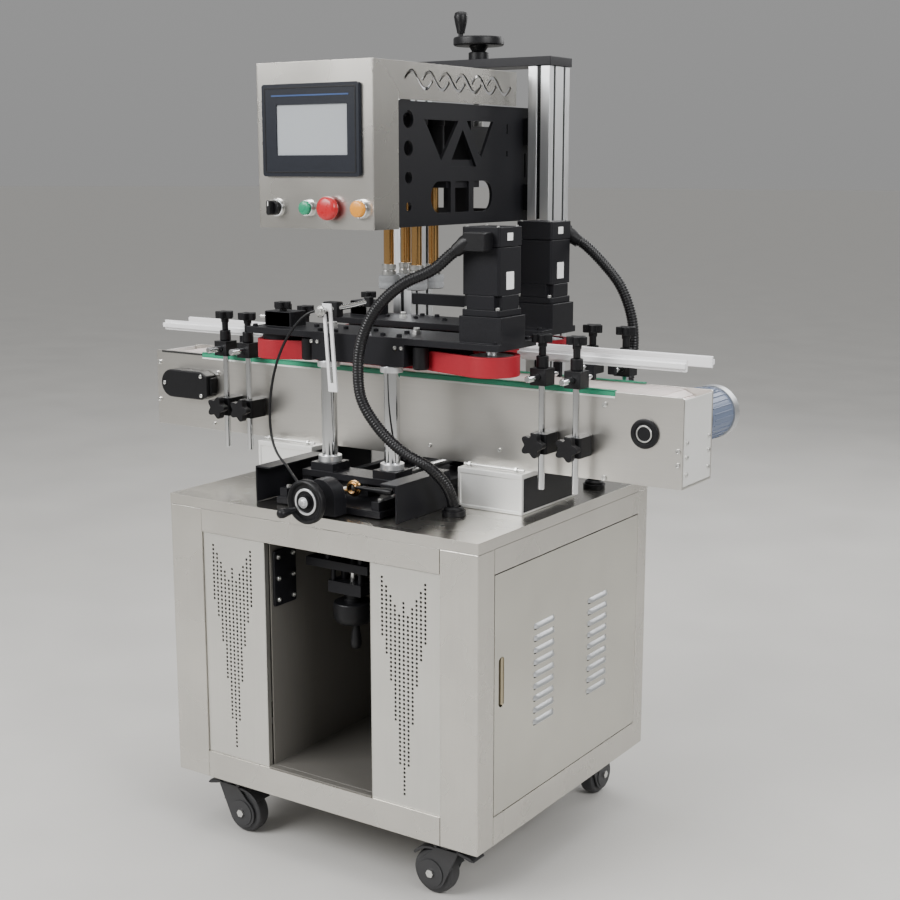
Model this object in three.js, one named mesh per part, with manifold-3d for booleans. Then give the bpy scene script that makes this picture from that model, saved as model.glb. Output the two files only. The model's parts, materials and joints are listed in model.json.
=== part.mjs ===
// Four-spindle capping machine: steel cabinet on casters, belt conveyor, grip-belt clamp and spindle head.
// Millimetres, +Z up. X runs along the conveyor, Y runs from the front to the back.
// The design's own origin is on the floor under the middle of the cabinet.
import * as THREE from 'three';
import { mergeVertices } from 'three/addons/utils/BufferGeometryUtils.js';
import ManifoldModule from 'manifold-3d';

const wasm = await ManifoldModule();
wasm.setup();
const { Manifold, Mesh: ManifoldMesh } = wasm;

// ---- driving dimensions ----------------------------------------------------------------
const GAP = 0.3; // clearance between parts that touch on the real machine

const CABINET = { halfX: 350, halfY: 315, bottom: 122, sheet: 20 };
const TABLE_TOP = 680;
const POST = { width: 78, frontDepth: 52, rearDepth: 38, wall: 3 };
const RAIL_HEIGHT = 53;
const TOP_RAIL_HEIGHT = 45;
const BAY = { left: -120, right: 122, wall: 3 };

const CASTER = { x: 258, y: 255, trail: 32, wheelRadius: 42.5, wheelWidth: 30, pin: 5 };

const CONVEYOR = { left: -619.5, right: 598.5, front: -67.3, back: 52.4, bottom: TABLE_TOP + 75, top: TABLE_TOP + 233 };
const PLATE = 4; // conveyor side plate
const CENTRE_Y = (CONVEYOR.front + CONVEYOR.back) / 2;
const CHAIN = { thickness: 6, radius: 66, drive: 528, idler: -549, z: TABLE_TOP + 166 };
const FOOT = { inner: 171, outer: 308, front: -106, back: 92, height: 74.7 };

const COLUMN = { inner: 138, outer: 185, front: 188, back: 266, top: TABLE_TOP + 801 };
const CAP_PLATE = { thickness: 17, over: 3 };
const LEAD_SCREW = { x: 2, y: 224, radius: 10 };

const HEAD = { bottom: TABLE_TOP + 507, top: TABLE_TOP + 789, half: 125, front: -293.4, boxBack: -220, hoodBack: 166 };
const SIDE_PLATE = { inner: 116, outer: 122, bottom: HEAD.bottom + 2, top: TABLE_TOP + 724, back: 225 };
const HOOD_BOTTOM = TABLE_TOP + 726;
const SPINDLE = { stepX: 32, stepY: 28, radius: 10, blockBottom: HEAD.bottom + 8, blockTop: HEAD.bottom + 58 };
const HMI = { left: -110, right: 101, bottom: TABLE_TOP + 596, top: TABLE_TOP + 752, proud: 7 };
const BUTTONS_Z = TABLE_TOP + 542.5;

const LIFT = { halfX: 118, front: -275, back: 250, bottom: TABLE_TOP + 3, thickness: 12, railX: 105 };
const SCREW_Z = TABLE_TOP + 34;
const WIDTH_SCREW = { x: 10, front: -352, radius: 7 };
const CHROME = { x: 72, offsetY: 165, radius: 14.5, bottom: TABLE_TOP + 66 };
const CLAMP_PLATE = { bottom: TABLE_TOP + 302, thickness: 12, outerOffset: 183, innerOffset: 55 };
const BELT = { offsetY: 134, radius: 50, thickness: 9, bottom: TABLE_TOP + 255, top: TABLE_TOP + 291, idlerX: -205, waist: 12 };
const BEAM = {
  left: -98, right: 112, inner: 149, outer: 183, bottom: TABLE_TOP + 262, pressInner: 97, pressOuter: 131,
};
const SERVO = { half: 38, height: 152, blockHeight: 58, frontX: 265, rearX: 212 };

const RAIL = { frontY: -45, backY: 33, bottom: TABLE_TOP + 273, height: 21, depth: 12, end: 605 };
const POST_X = { left: [-394, -334], right: [343, 411] };
const POST_REACH = 32; // guide-rail posts stand this far outside the conveyor's side plates

// ---- materials -------------------------------------------------------------------------
function finish(color, roughness, metalness) {
  return new THREE.MeshStandardMaterial({ color, roughness, metalness });
}
const STAINLESS = finish(0xb9b7b1, 0.38, 0.9);
const ALUMINIUM = finish(0xc9cacb, 0.42, 0.85);
const CHROMED = finish(0xd8d9da, 0.12, 1.0);
const BLACK_METAL = finish(0x1a1a1c, 0.5, 0.4);
const BLACK_PLASTIC = finish(0x161617, 0.55, 0.0);
const RED_RUBBER = finish(0xb0202a, 0.6, 0.0);
const GREY_RUBBER = finish(0x77797c, 0.75, 0.0);
const PINK_PLASTIC = finish(0xd9cdc8, 0.5, 0.0);
const BRASS = finish(0xc08a3c, 0.3, 1.0);
const MOTOR_PAINT = finish(0x56657c, 0.45, 0.3);
const GREEN_PLASTIC = finish(0x1f9a6a, 0.35, 0.0);
const RED_PLASTIC = finish(0xc4202c, 0.35, 0.0);
const YELLOW_PLASTIC = finish(0xe0a030, 0.35, 0.0);

// ---- solid helpers ---------------------------------------------------------------------
function box(x0, x1, y0, y1, z0, z1) {
  const geometry = new THREE.BoxGeometry(x1 - x0, y1 - y0, z1 - z0);
  return geometry.translate((x0 + x1) / 2, (y0 + y1) / 2, (z0 + z1) / 2);
}

// A cylinder from `start` along one positive axis; it may taper to `endRadius`.
function rod(axis, start, length, radius, segments = 20, endRadius = radius) {
  const geometry = new THREE.CylinderGeometry(endRadius, radius, length, segments);
  geometry.translate(0, length / 2, 0);
  if (axis === 'x') geometry.rotateZ(-Math.PI / 2);
  if (axis === 'z') geometry.rotateX(Math.PI / 2);
  return geometry.translate(...start);
}

// A prism drawn in the XY plane, or in YZ for axis 'x' and XZ for axis 'y'.
function prism(shape, axis, from, to) {
  const depth = to - from;
  const geometry = new THREE.ExtrudeGeometry(shape, { depth, bevelEnabled: false, curveSegments: 10 });
  if (axis === 'x') geometry.applyMatrix4(new THREE.Matrix4().set(0, 0, 1, from, 1, 0, 0, 0, 0, 1, 0, 0, 0, 0, 0, 1));
  if (axis === 'y') geometry.applyMatrix4(new THREE.Matrix4().set(1, 0, 0, 0, 0, 0, -1, to, 0, 1, 0, 0, 0, 0, 0, 1));
  if (axis === 'z') geometry.translate(0, 0, from);
  return geometry;
}

function polygon(points) {
  return new THREE.Shape(points.map(([u, v]) => new THREE.Vector2(u, v)));
}

// The outline of a belt that runs round two equal pulleys.
function stadium(u0, u1, v, radius) {
  const shape = new THREE.Shape();
  shape.absarc(u1, v, radius, -Math.PI / 2, Math.PI / 2, false);
  shape.absarc(u0, v, radius, Math.PI / 2, Math.PI * 1.5, false);
  return shape;
}

// A closed round tube that follows a smooth curve through hand-placed points.
function hose(points, radius, steps) {
  const route = new THREE.CatmullRomCurve3(points.map((p) => new THREE.Vector3(...p)), false, 'centripetal');
  const section = new THREE.Shape();
  section.absarc(0, 0, radius, 0, Math.PI * 2, false);
  return new THREE.ExtrudeGeometry(section, { steps, extrudePath: route, curveSegments: 8, bevelEnabled: false });
}

function toSolid(geometry) {
  const bare = new THREE.BufferGeometry();
  bare.setAttribute('position', geometry.getAttribute('position').clone());
  if (geometry.index) bare.setIndex(geometry.index.clone());
  const welded = mergeVertices(bare, 1e-4);
  const solid = new Manifold(new ManifoldMesh({
    numProp: 3,
    vertProperties: new Float32Array(welded.getAttribute('position').array),
    triVerts: new Uint32Array(welded.index.array),
  }));
  return solid;
}

function join(...geometries) {
  return Manifold.union(geometries.map((g) => (g instanceof Manifold ? g : toSolid(g))));
}

function cut(base, ...tools) {
  return join(base).subtract(join(...tools));
}

const machine = new THREE.Group();
machine.name = 'capping_machine';

function addPart(name, material, body) {
  const solid = join(body).translate([-ORIGIN.x, -ORIGIN.y, 0]);
  const data = solid.getMesh();
  const geometry = new THREE.BufferGeometry();
  geometry.setAttribute('position', new THREE.Float32BufferAttribute(data.vertProperties, 3));
  geometry.setIndex(new THREE.BufferAttribute(data.triVerts, 1));
  const flat = geometry.toNonIndexed();
  flat.computeVertexNormals();
  const mesh = new THREE.Mesh(flat, material);
  mesh.name = name;
  machine.add(mesh);
}

// The exported origin is the bottom centre of the whole machine's box.
const WIDTH_HANDLE_FRONT = WIDTH_SCREW.front - 42;
const CASTER_BACK = CASTER.y + CASTER.trail + CASTER.wheelRadius;
const ORIGIN = {
  x: (CONVEYOR.left + RAIL.end) / 2,
  y: (WIDTH_HANDLE_FRONT + CASTER_BACK) / 2,
};

// ---- cabinet ---------------------------------------------------------------------------
function cabinetFrame() {
  const { halfX, halfY, bottom, sheet } = CABINET;
  const top = TABLE_TOP - sheet - GAP;
  const innerX = halfX - POST.width;
  const frontY = POST.frontDepth - halfY;
  const backY = halfY - POST.rearDepth;
  const wall = POST.wall;
  const solids = [box(-halfX, halfX, -halfY, halfY, bottom, bottom + 4)];
  for (const side of [-1, 1]) {
    const [x0, x1] = side < 0 ? [-halfX, -innerX] : [innerX, halfX];
    for (const [y0, y1] of [[-halfY, frontY], [backY, halfY]]) {
      const hollow = box(x0 + wall, x1 - wall, y0 + wall, y1 - wall, bottom + 8, top + 1);
      solids.push(cut(box(x0, x1, y0, y1, bottom, top), hollow));
    }
    const [r0, r1] = side < 0 ? [-halfX, wall * 2 - halfX] : [halfX - wall * 2, halfX];
    solids.push(box(r0, r1, frontY - 1, backY + 1, bottom, bottom + RAIL_HEIGHT));
    solids.push(box(r0, r1, frontY - 1, backY + 1, top - TOP_RAIL_HEIGHT, top));
  }
  for (const [y0, y1] of [[-halfY, wall * 2 - halfY], [halfY - wall * 2, halfY]]) {
    solids.push(box(-innerX - 1, innerX + 1, y0, y1, bottom, bottom + RAIL_HEIGHT));
    solids.push(box(-innerX - 1, innerX + 1, y0, y1, top - TOP_RAIL_HEIGHT, top));
  }
  solids.push(box(-halfX, wall - halfX, frontY - 1, backY + 1, bottom + RAIL_HEIGHT - 1, top - TOP_RAIL_HEIGHT + 1));
  return join(...solids);
}

const PANEL_BOTTOM = CABINET.bottom + RAIL_HEIGHT + GAP;
const PANEL_TOP = TABLE_TOP - CABINET.sheet - TOP_RAIL_HEIGHT - 2 * GAP;
const PANEL_FRONT = 4 - CABINET.halfY;

function tableTop() {
  const { halfX, halfY, sheet } = CABINET;
  const z0 = TABLE_TOP - sheet;
  const rim = 3;
  const slab = cut(
    box(-halfX, halfX, -halfY, halfY, z0, TABLE_TOP),
    box(rim - halfX, halfX - rim, rim - halfY, halfY - rim, z0 - 1, TABLE_TOP - 5),
  );
  const glands = [FRONT_GLAND, REAR_GLAND].map(({ x, y }) => rod('z', [x, y, TABLE_TOP - 1], 10, 20, 20));
  const holes = [FRONT_GLAND, REAR_GLAND].map(({ x, y }) => rod('z', [x, y, z0 - 1], sheet + 11, 14, 16));
  holes.push(box(-LIFT_ROD.x - 12, LIFT_ROD.x + 12, LIFT_ROD.y - 12, LIFT_ROD.y + 12, z0 - 1, TABLE_TOP + 1));
  return cut(join(slab, ...glands), ...holes);
}

function bayLiner() {
  const { left, right, wall } = BAY;
  const front = PANEL_FRONT + 12;
  const back = 240;
  const x0 = left + GAP;
  const x1 = right - GAP;
  return join(
    box(x0, x0 + wall, front, back, PANEL_BOTTOM, PANEL_TOP - 4),
    box(x1 - wall, x1, front, back, PANEL_BOTTOM, PANEL_TOP - 4),
    box(x0, x1, front, back, PANEL_BOTTOM, PANEL_BOTTOM + wall),
    box(x0, x1, back - wall, back, PANEL_BOTTOM, PANEL_TOP - 4),
  );
}

// Front panels have a small return flange on the bay side.
function frontPanel(x0, x1) {
  return cut(
    box(x0 + GAP, x1 - GAP, PANEL_FRONT, PANEL_FRONT + 10, PANEL_BOTTOM, PANEL_TOP),
    box(x0 + 3, x1 - 3, PANEL_FRONT + 2.5, PANEL_FRONT + 11, PANEL_BOTTOM + 3, PANEL_TOP - 3),
  );
}

const DOOR = { front: -261, back: 276, thickness: 12 };

function door() {
  const outer = CABINET.halfX - 0.5;
  const slab = box(outer - DOOR.thickness, outer, DOOR.front, DOOR.back, PANEL_BOTTOM + 1, PANEL_TOP - 1);
  const pull = box(outer - 8, outer + 1, DOOR.front + 14, DOOR.front + 32, 372, 462);
  const hollow = box(outer - 20, outer - 2.5, DOOR.front + 36, DOOR.back - 3, PANEL_BOTTOM + 4, PANEL_TOP - 4);
  return cut(slab, pull, hollow);
}

// ---- casters ---------------------------------------------------------------------------
// `trail` is the unit direction from the swivel axis to the wheel, along X or Y.
function casterFork(x, y, trail) {
  const top = CABINET.bottom - GAP;
  const { wheelRadius, wheelWidth, pin } = CASTER;
  const wx = x + trail[0] * CASTER.trail;
  const wy = y + trail[1] * CASTER.trail;
  const cheek = wheelWidth / 2 + 2;
  const solids = [rod('z', [x, y, 108], top - 108, 30, 20), rod('z', [x, y, 100], 9, 24, 20)];
  const alongX = trail[0] !== 0;
  for (const side of [-1, 1]) {
    const near = side * cheek;
    const far = side * (cheek + 4);
    const lo = Math.min(near, far);
    const hi = Math.max(near, far);
    const s = alongX ? trail[0] : trail[1];
    const base = alongX ? x : y;
    const outline = polygon([
      [base - s * 26, 101], [base - s * 22, 92], [base + s * (CASTER.trail - 12), wheelRadius - 8],
      [base + s * (CASTER.trail + 12), wheelRadius - 8], [base + s * (CASTER.trail + 6), 92], [base + s * 30, 101],
    ]);
    solids.push(alongX ? prism(outline, 'y', y + lo, y + hi) : prism(outline, 'x', x + lo, x + hi));
  }
  const span = cheek + 4;
  if (alongX) {
    solids.push(box(x - 26, x + 26, y - span, y + span, 97, 101.5));
    solids.push(rod('y', [wx, wy - span - 4, wheelRadius], 2 * span + 8, pin, 12));
  } else {
    solids.push(box(x - span, x + span, y - 26, y + 26, 97, 101.5));
    solids.push(rod('x', [wx - span - 4, wy, wheelRadius], 2 * span + 8, pin, 12));
  }
  return join(...solids);
}

function casterWheel(x, y, trail) {
  const { wheelRadius, wheelWidth, pin } = CASTER;
  const axis = trail[0] !== 0 ? 'y' : 'x';
  const cx = x + trail[0] * CASTER.trail;
  const cy = y + trail[1] * CASTER.trail;
  const start = (half) => (axis === 'y' ? [cx, cy - half, wheelRadius] : [cx - half, cy, wheelRadius]);
  const tyre = rod(axis, start(wheelWidth / 2), wheelWidth, wheelRadius, 32);
  return cut(tyre, rod(axis, start(wheelWidth), wheelWidth * 2, pin + GAP, 12));
}

// ---- conveyor --------------------------------------------------------------------------
function conveyorFrame() {
  const { left, right, front, back, bottom, top } = CONVEYOR;
  const solids = [
    box(left, right, front, front + PLATE, bottom, top),
    box(left, right, back - PLATE, back, bottom, top),
    box(left, right, front, back, bottom, bottom + PLATE),
    box(left, left + 3, front, back, bottom, top - 3),
    box(right - 3, right, front, back, bottom, top - 3),
    rod('y', [CHAIN.drive, front - 5, CHAIN.z], 6, 26, 24),
    rod('y', [CHAIN.idler, front - 5, CHAIN.z], 6, 20, 20),
  ];
  const posts = [...POST_X.left, ...POST_X.right];
  for (const x of posts) {
    for (const side of [-1, 1]) {
      const plate = side < 0 ? front : back;
      const y = plate + side * POST_REACH;
      const [y0, y1] = side < 0 ? [y - 14, plate + 1] : [plate - 1, y + 14];
      const railZ = RAIL.bottom - 16;
      solids.push(box(x - 17, x + 17, y0, y1, TABLE_TOP + 118, TABLE_TOP + 154));
      solids.push(rod('z', [x, y, TABLE_TOP + 52], railZ - 17 - TABLE_TOP - 52, 6, 12));
      solids.push(cut(
        box(x - 16, x + 16, y - 16, y + 16, railZ - 18, railZ + 12),
        rod('y', [x, y - 20, railZ - 3], 40, 6 + GAP, 12),
      ));
      solids.push(rod('z', [x, y, railZ + 11], 22, 11, 12));
    }
  }
  const bores = [rod('y', [CHAIN.drive, back - 10, CHAIN.z], 20, 9, 16)];
  return cut(join(...solids), ...bores);
}

function conveyorChain() {
  const { thickness, radius, drive, idler, z } = CHAIN;
  const y0 = CONVEYOR.front + PLATE + 1;
  const y1 = CONVEYOR.back - PLATE - 1;
  const inner = radius - thickness;
  return cut(prism(stadium(idler, drive, z, radius), 'y', y0, y1), prism(stadium(idler, drive, z, inner), 'y', y0 - 1, y1 + 1));
}

function conveyorRoller(x, shaftBack) {
  const y0 = CONVEYOR.front + PLATE + 3;
  const y1 = CONVEYOR.back - PLATE - 3;
  const solids = [rod('y', [x, y0, CHAIN.z], y1 - y0, CHAIN.radius - CHAIN.thickness - 1, 28)];
  solids.push(rod('y', [x, y0 - 2, CHAIN.z], shaftBack - y0 + 2, 8, 16));
  return join(...solids);
}

function conveyorMotor() {
  const back = CONVEYOR.back;
  const x = CHAIN.drive;
  const z = CHAIN.z;
  return cut(join(
    box(x - 42, x + 42, back + 1, back + 42, z - 42, z + 42),
    rod('y', [x, back + 41, z], 20, 44, 24),
    rod('y', [x, back + 60, z], 92, 47, 28),
    rod('y', [x, back + 151, z], 28, 50, 28),
    box(x - 14, x + 14, back + 10, back + 34, CONVEYOR.bottom + 6, z - 40),
  ), rod('y', [x, back - 1, z], 24, 9, 16));
}

function conveyorFoot(side) {
  const [x0, x1] = side < 0 ? [-FOOT.outer, -FOOT.inner] : [FOOT.inner, FOOT.outer];
  const z0 = TABLE_TOP + GAP;
  const z1 = TABLE_TOP + FOOT.height;
  const inset = 6;
  const shell = box(x0, x1, FOOT.front, FOOT.back, z0, z1);
  const core = box(x0 + inset, x1 - inset, FOOT.front - 1, FOOT.back + 1, z0 + 6, z1 - 10);
  return join(cut(shell, core), box(x0 + inset - 1, x1 - inset + 1, FOOT.front + 2, FOOT.front + 8, z0, z1));
}

// ---- guide rails -----------------------------------------------------------------------
function guideRail(x0, x1, side, posts) {
  const y = side < 0 ? RAIL.frontY : RAIL.backY;
  const plate = side < 0 ? CONVEYOR.front : CONVEYOR.back;
  const postY = plate + side * POST_REACH;
  const half = RAIL.depth / 2;
  const rodZ = RAIL.bottom - 19;
  const solids = [box(x0, x1, y - half, y + half, RAIL.bottom, RAIL.bottom + RAIL.height)];
  for (const x of posts) {
    const tip = postY + side * 52;
    const near = y + side * 4;
    const start = Math.min(tip, near);
    solids.push(rod('y', [x, start, rodZ], Math.abs(tip - near), 6 - GAP / 2, 12));
    solids.push(box(x - 7, x + 7, y - half + 1, y + half - 1, rodZ - 7, RAIL.bottom + 1));
  }
  return join(...solids);
}

// ---- columns and head drive ------------------------------------------------------------
function extrusionColumn(side) {
  const [x0, x1] = side < 0 ? [-COLUMN.outer, -COLUMN.inner] : [COLUMN.inner, COLUMN.outer];
  const { front, back, top } = COLUMN;
  const z0 = TABLE_TOP + GAP;
  const slot = 8;
  const depth = 9;
  const midX = (x0 + x1) / 2;
  const tools = [box(midX - slot / 2, midX + slot / 2, front - 1, front + depth, z0 - 1, top + 1)];
  tools.push(box(midX - slot / 2, midX + slot / 2, back - depth, back + 1, z0 - 1, top + 1));
  for (const share of [0.26, 0.74]) {
    const y = front + (back - front) * share;
    tools.push(box(x0 - 1, x0 + depth, y - slot / 2, y + slot / 2, z0 - 1, top + 1));
    tools.push(box(x1 - depth, x1 + 1, y - slot / 2, y + slot / 2, z0 - 1, top + 1));
  }
  return cut(box(x0, x1, front, back, z0, top), ...tools);
}

function columnCap() {
  const { outer, front, back, top } = COLUMN;
  const { thickness, over } = CAP_PLATE;
  const z0 = top + GAP;
  const plate = box(-outer - over, outer + over, front - over, back + over, z0, z0 + thickness);
  return cut(plate, rod('z', [LEAD_SCREW.x, LEAD_SCREW.y, z0 - 1], thickness + 2, LEAD_SCREW.radius + 1, 20));
}

function headHandwheel() {
  const { x, y, radius } = LEAD_SCREW;
  const capTop = COLUMN.top + GAP + CAP_PLATE.thickness;
  return join(
    rod('z', [x, y, HEAD_NUT.bottom - 40], capTop + 40 - HEAD_NUT.bottom + 42, radius, 16),
    rod('z', [x, y, capTop + 1], 14, 20, 20),
    rod('z', [x, y, capTop + 10], 34, 12, 16, 16),
    rod('z', [x, y, capTop + 30], 14, 56, 32, 53),
    rod('z', [x - 42, y, capTop + 40], 16, 6, 12),
    rod('z', [x - 42, y, capTop + 54], 42, 10, 14, 12),
  );
}

// Cut-outs in the head's side plates: heights are above the table, places are along Y.
const HEAD_PORTS = [[693, 15.5], [644, 13.5], [594, 10.7], [544, 8.5]];
const HEAD_TRIANGLES = [
  [[-138, 694], [-86, 623], [-30, 694]],
  [[-61, 613], [30, 613], [-16, 679]],
  [[-3, 695], [47, 629], [88, 695]],
];
const HEAD_WINDOWS = [[-118, -55, 26, 3], [-41, 5, 3, 3], [21, 85, 3, 26]];
const HEAD_SLOTS = [[138, 674, 692], [138, 632, 642], [205, 592, 638]];
const WAVE = { count: 6, start: -201, pitch: 52.4, length: 84, height: 14.5, width: 4.6, z: TABLE_TOP + 760 };

// A window whose left and right corners may have different radii.
function roundedWindow(u0, u1, v0, v1, left, right) {
  const shape = new THREE.Shape();
  shape.moveTo(u0 + left, v0);
  shape.absarc(u1 - right, v0 + right, right, -Math.PI / 2, 0, false);
  shape.absarc(u1 - right, v1 - right, right, 0, Math.PI / 2, false);
  shape.absarc(u0 + left, v1 - left, left, Math.PI / 2, Math.PI, false);
  shape.absarc(u0 + left, v0 + left, left, Math.PI, Math.PI * 1.5, false);
  return shape;
}

// One period of a sine wave as a slot of even width, starting at y0.
function waveSlot(y0) {
  const steps = 12;
  const edge = (side) => Array.from({ length: steps + 1 }, (_, i) => {
    const phase = (2 * Math.PI * i) / steps;
    const slope = ((WAVE.height * 2 * Math.PI) / WAVE.length) * Math.cos(phase);
    const reach = (side * WAVE.width) / 2 / Math.hypot(1, slope);
    return [y0 + (WAVE.length * i) / steps - reach * slope, WAVE.z + WAVE.height * Math.sin(phase) + reach];
  });
  return polygon([...edge(-1), ...edge(1).reverse()]);
}

const HEAD_NUT = { bottom: TABLE_TOP + 640, top: TABLE_TOP + 690 };

function headFrame() {
  const { inner, outer, bottom, top, back } = SIDE_PLATE;
  const front = HEAD.boxBack + 1;
  const solids = [];
  const tools = [];
  for (const side of [-1, 1]) {
    const [x0, x1] = side < 0 ? [-outer, -inner] : [inner, outer];
    solids.push(box(x0, x1, front, back, bottom, top));
    const shoeInner = side < 0 ? -COLUMN.inner + 1 : inner;
    const shoeOuter = side < 0 ? -inner : COLUMN.inner - 1;
    solids.push(box(shoeInner, shoeOuter, 200, 246, bottom + 20, bottom + 70));
    solids.push(box(shoeInner, shoeOuter, 200, 246, top - 70, top - 20));
  }
  for (const [z, radius] of HEAD_PORTS) tools.push(rod('x', [-150, HEAD.boxBack + 33, TABLE_TOP + z], 300, radius, 16));
  for (const corners of HEAD_TRIANGLES) tools.push(prism(polygon(corners.map(([y, z]) => [y, TABLE_TOP + z])), 'x', -150, 150));
  for (const [y0, y1, left, right] of HEAD_WINDOWS) {
    tools.push(prism(roundedWindow(y0, y1, TABLE_TOP + 531, TABLE_TOP + 587, left, right), 'x', -150, 150));
  }
  for (const [y, z0, z1] of HEAD_SLOTS) tools.push(box(-150, 150, y - 2.5, y + 2.5, TABLE_TOP + z0, TABLE_TOP + z1));
  const plates = cut(join(...solids), ...tools);
  const inside = inner + 1;
  const spindleBlock = box(-inside, inside, -55 + CENTRE_Y, 55 + CENTRE_Y, SPINDLE.blockBottom + 60, SPINDLE.blockTop + 60);
  const bearingPlate = box(-inside, inside, -62 + CENTRE_Y, 62 + CENTRE_Y, bottom, bottom + 12);
  const bores = [];
  for (const [sx, sy] of SPINDLE_SIGNS) {
    bores.push(rod('z', [sx * SPINDLE.stepX, CENTRE_Y + sy * SPINDLE.stepY, bottom - 1], 200, SPINDLE.radius + GAP, 16));
  }
  const backOpenings = [-1, 1].map((s) => box(62 * s - 30, 62 * s + 30, 149, 161, bottom + 24, top - 22));
  const backPlate = cut(box(-inside, inside, 150, 160, bottom, top - 4), ...backOpenings);
  const nutBlock = box(-30, 30, 159, 240, HEAD_NUT.bottom, HEAD_NUT.top);
  const screwBore = rod('z', [LEAD_SCREW.x, LEAD_SCREW.y, HEAD_NUT.bottom - 1], 60, LEAD_SCREW.radius + GAP, 16);
  return cut(join(plates, spindleBlock, bearingPlate, backPlate, nutBlock), ...bores, screwBore);
}

const SPINDLE_SIGNS = [[-1, -1], [1, -1], [-1, 1], [1, 1]];

function spindle(sx, sy) {
  const x = sx * SPINDLE.stepX;
  const y = CENTRE_Y + sy * SPINDLE.stepY;
  const low = TABLE_TOP + 385;
  return join(
    rod('z', [x, y, low], 26, 20, 24),
    rod('z', [x, y, low + 25], 22, 14, 20),
    rod('z', [x, y, low + 46], HEAD.bottom + 120 - low - 46, SPINDLE.radius, 16),
  );
}

// The stainless box in front, with a hood that runs back over the side plates.
function hmiBox() {
  const { half, front, boxBack, hoodBack, bottom, top } = HEAD;
  const wall = 2.5;
  const holes = [[-86, 11], [-16, 11], [35.5, 11], [99, 11]];
  const tools = [
    box(-half + wall, half - wall, front + wall, boxBack + 1, bottom + wall, top - wall),
    box(HMI.left + 12, HMI.right - 12, front - 1, front + 4, HMI.bottom + 12, HMI.top - 12),
    box(-half + wall, half - wall, boxBack, hoodBack + 1, HOOD_BOTTOM - 1, top - wall),
  ];
  for (const [x, radius] of holes) tools.push(rod('y', [x, front - 1, BUTTONS_Z], 5, radius + GAP, 20));
  for (let k = 0; k < WAVE.count; k += 1) tools.push(prism(waveSlot(WAVE.start + WAVE.pitch * k), 'x', -half - 1, half + 1));
  return cut(join(
    box(-half, half, front, boxBack, bottom, top),
    box(-half, half, boxBack - 1, hoodBack, HOOD_BOTTOM, top),
  ), ...tools);
}

function hmiPanel() {
  const { left, right, bottom, top, proud } = HMI;
  const front = HEAD.front;
  return join(
    box(left, right, front - proud, front - GAP, bottom, top),
    box(left + 13, right - 13, front - 1, front + 30, bottom + 13, top - 13),
  );
}

// A 22 mm panel button: stem through the box, bezel-sized head in front.
function pushButton(x, headRadius, headLength) {
  const front = HEAD.front;
  return join(
    rod('y', [x, front - 8 - headLength, BUTTONS_Z], headLength, headRadius, 24),
    rod('y', [x, front - 9, BUTTONS_Z], 34, 9, 16),
  );
}

function selectorSwitch() {
  const front = HEAD.front;
  const x = -86;
  return join(
    rod('y', [x, front - 14, BUTTONS_Z], 13, 13, 24),
    rod('y', [x, front - 3, BUTTONS_Z], 28, 9, 16),
    box(x - 4, x + 4, front - 25, front - 12, BUTTONS_Z - 12.5, BUTTONS_Z + 12.5),
  );
}

// ---- clamp: lift, carriages, belts -----------------------------------------------------
const LIFT_ROD = { x: 20, y: -200, radius: 7, bottom: 513 };
const LIFT_GUIDE = { upperPlate: { bottom: 561, top: 577 }, block: { bottom: 514, top: 536 } };
const LIFT_WHEEL = { bottom: 455, top: 495, radius: 38 };
const FRONT_GLAND = { x: 204, y: -168 };
const REAR_GLAND = { x: 305, y: 172 };

// The lift's guide hangs under the table: a flange, an upper plate and a lower block on tie rods.
function liftGuide() {
  const { upperPlate, block } = LIFT_GUIDE;
  const flangeTop = TABLE_TOP - CABINET.sheet - GAP;
  const { x, y } = LIFT_ROD;
  const ties = [];
  for (const [tx, ty] of [[-38, -26], [38, -26], [-38, 26], [38, 26]]) {
    ties.push(rod('z', [tx, y + ty, upperPlate.top - 1], flangeTop - upperPlate.top - 8, 6, 12));
    ties.push(rod('z', [tx * 0.82, y + ty * 0.75, block.top - 1], upperPlate.bottom - block.top + 2, 4.5, 12));
  }
  const drill = (at, radius) => rod('z', [at, y, block.bottom - 5], flangeTop - block.bottom + 10, radius, 16);
  return cut(join(
    box(-46, 46, y - 34, y + 34, flangeTop - 10, flangeTop),
    box(-84, 60, y - 36, y + 36, upperPlate.bottom, upperPlate.top),
    box(-38, 38, y - 28, y + 28, block.bottom, block.top),
    ...ties,
  ), drill(-x, LIFT_ROD.radius + 1), drill(x, LIFT_ROD.radius + 1), drill(0, 6.5));
}

function liftHandwheel() {
  const flangeTop = TABLE_TOP - CABINET.sheet - GAP;
  const y = LIFT_ROD.y;
  const { bottom, top, radius } = LIFT_WHEEL;
  return join(
    rod('z', [0, y, bottom + 8], flangeTop - 5 - bottom - 8, 6, 14),
    rod('z', [0, y, top - 1], LIFT_GUIDE.block.bottom - 2 - top, 17, 20),
    rod('z', [0, y, bottom], 12, radius - 6, 32, radius),
    rod('z', [0, y, bottom + 11.9], top - bottom - 11.9, radius, 32),
    rod('z', [16, y - 14, bottom - 46], 48, 11, 14, 8),
  );
}

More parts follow.
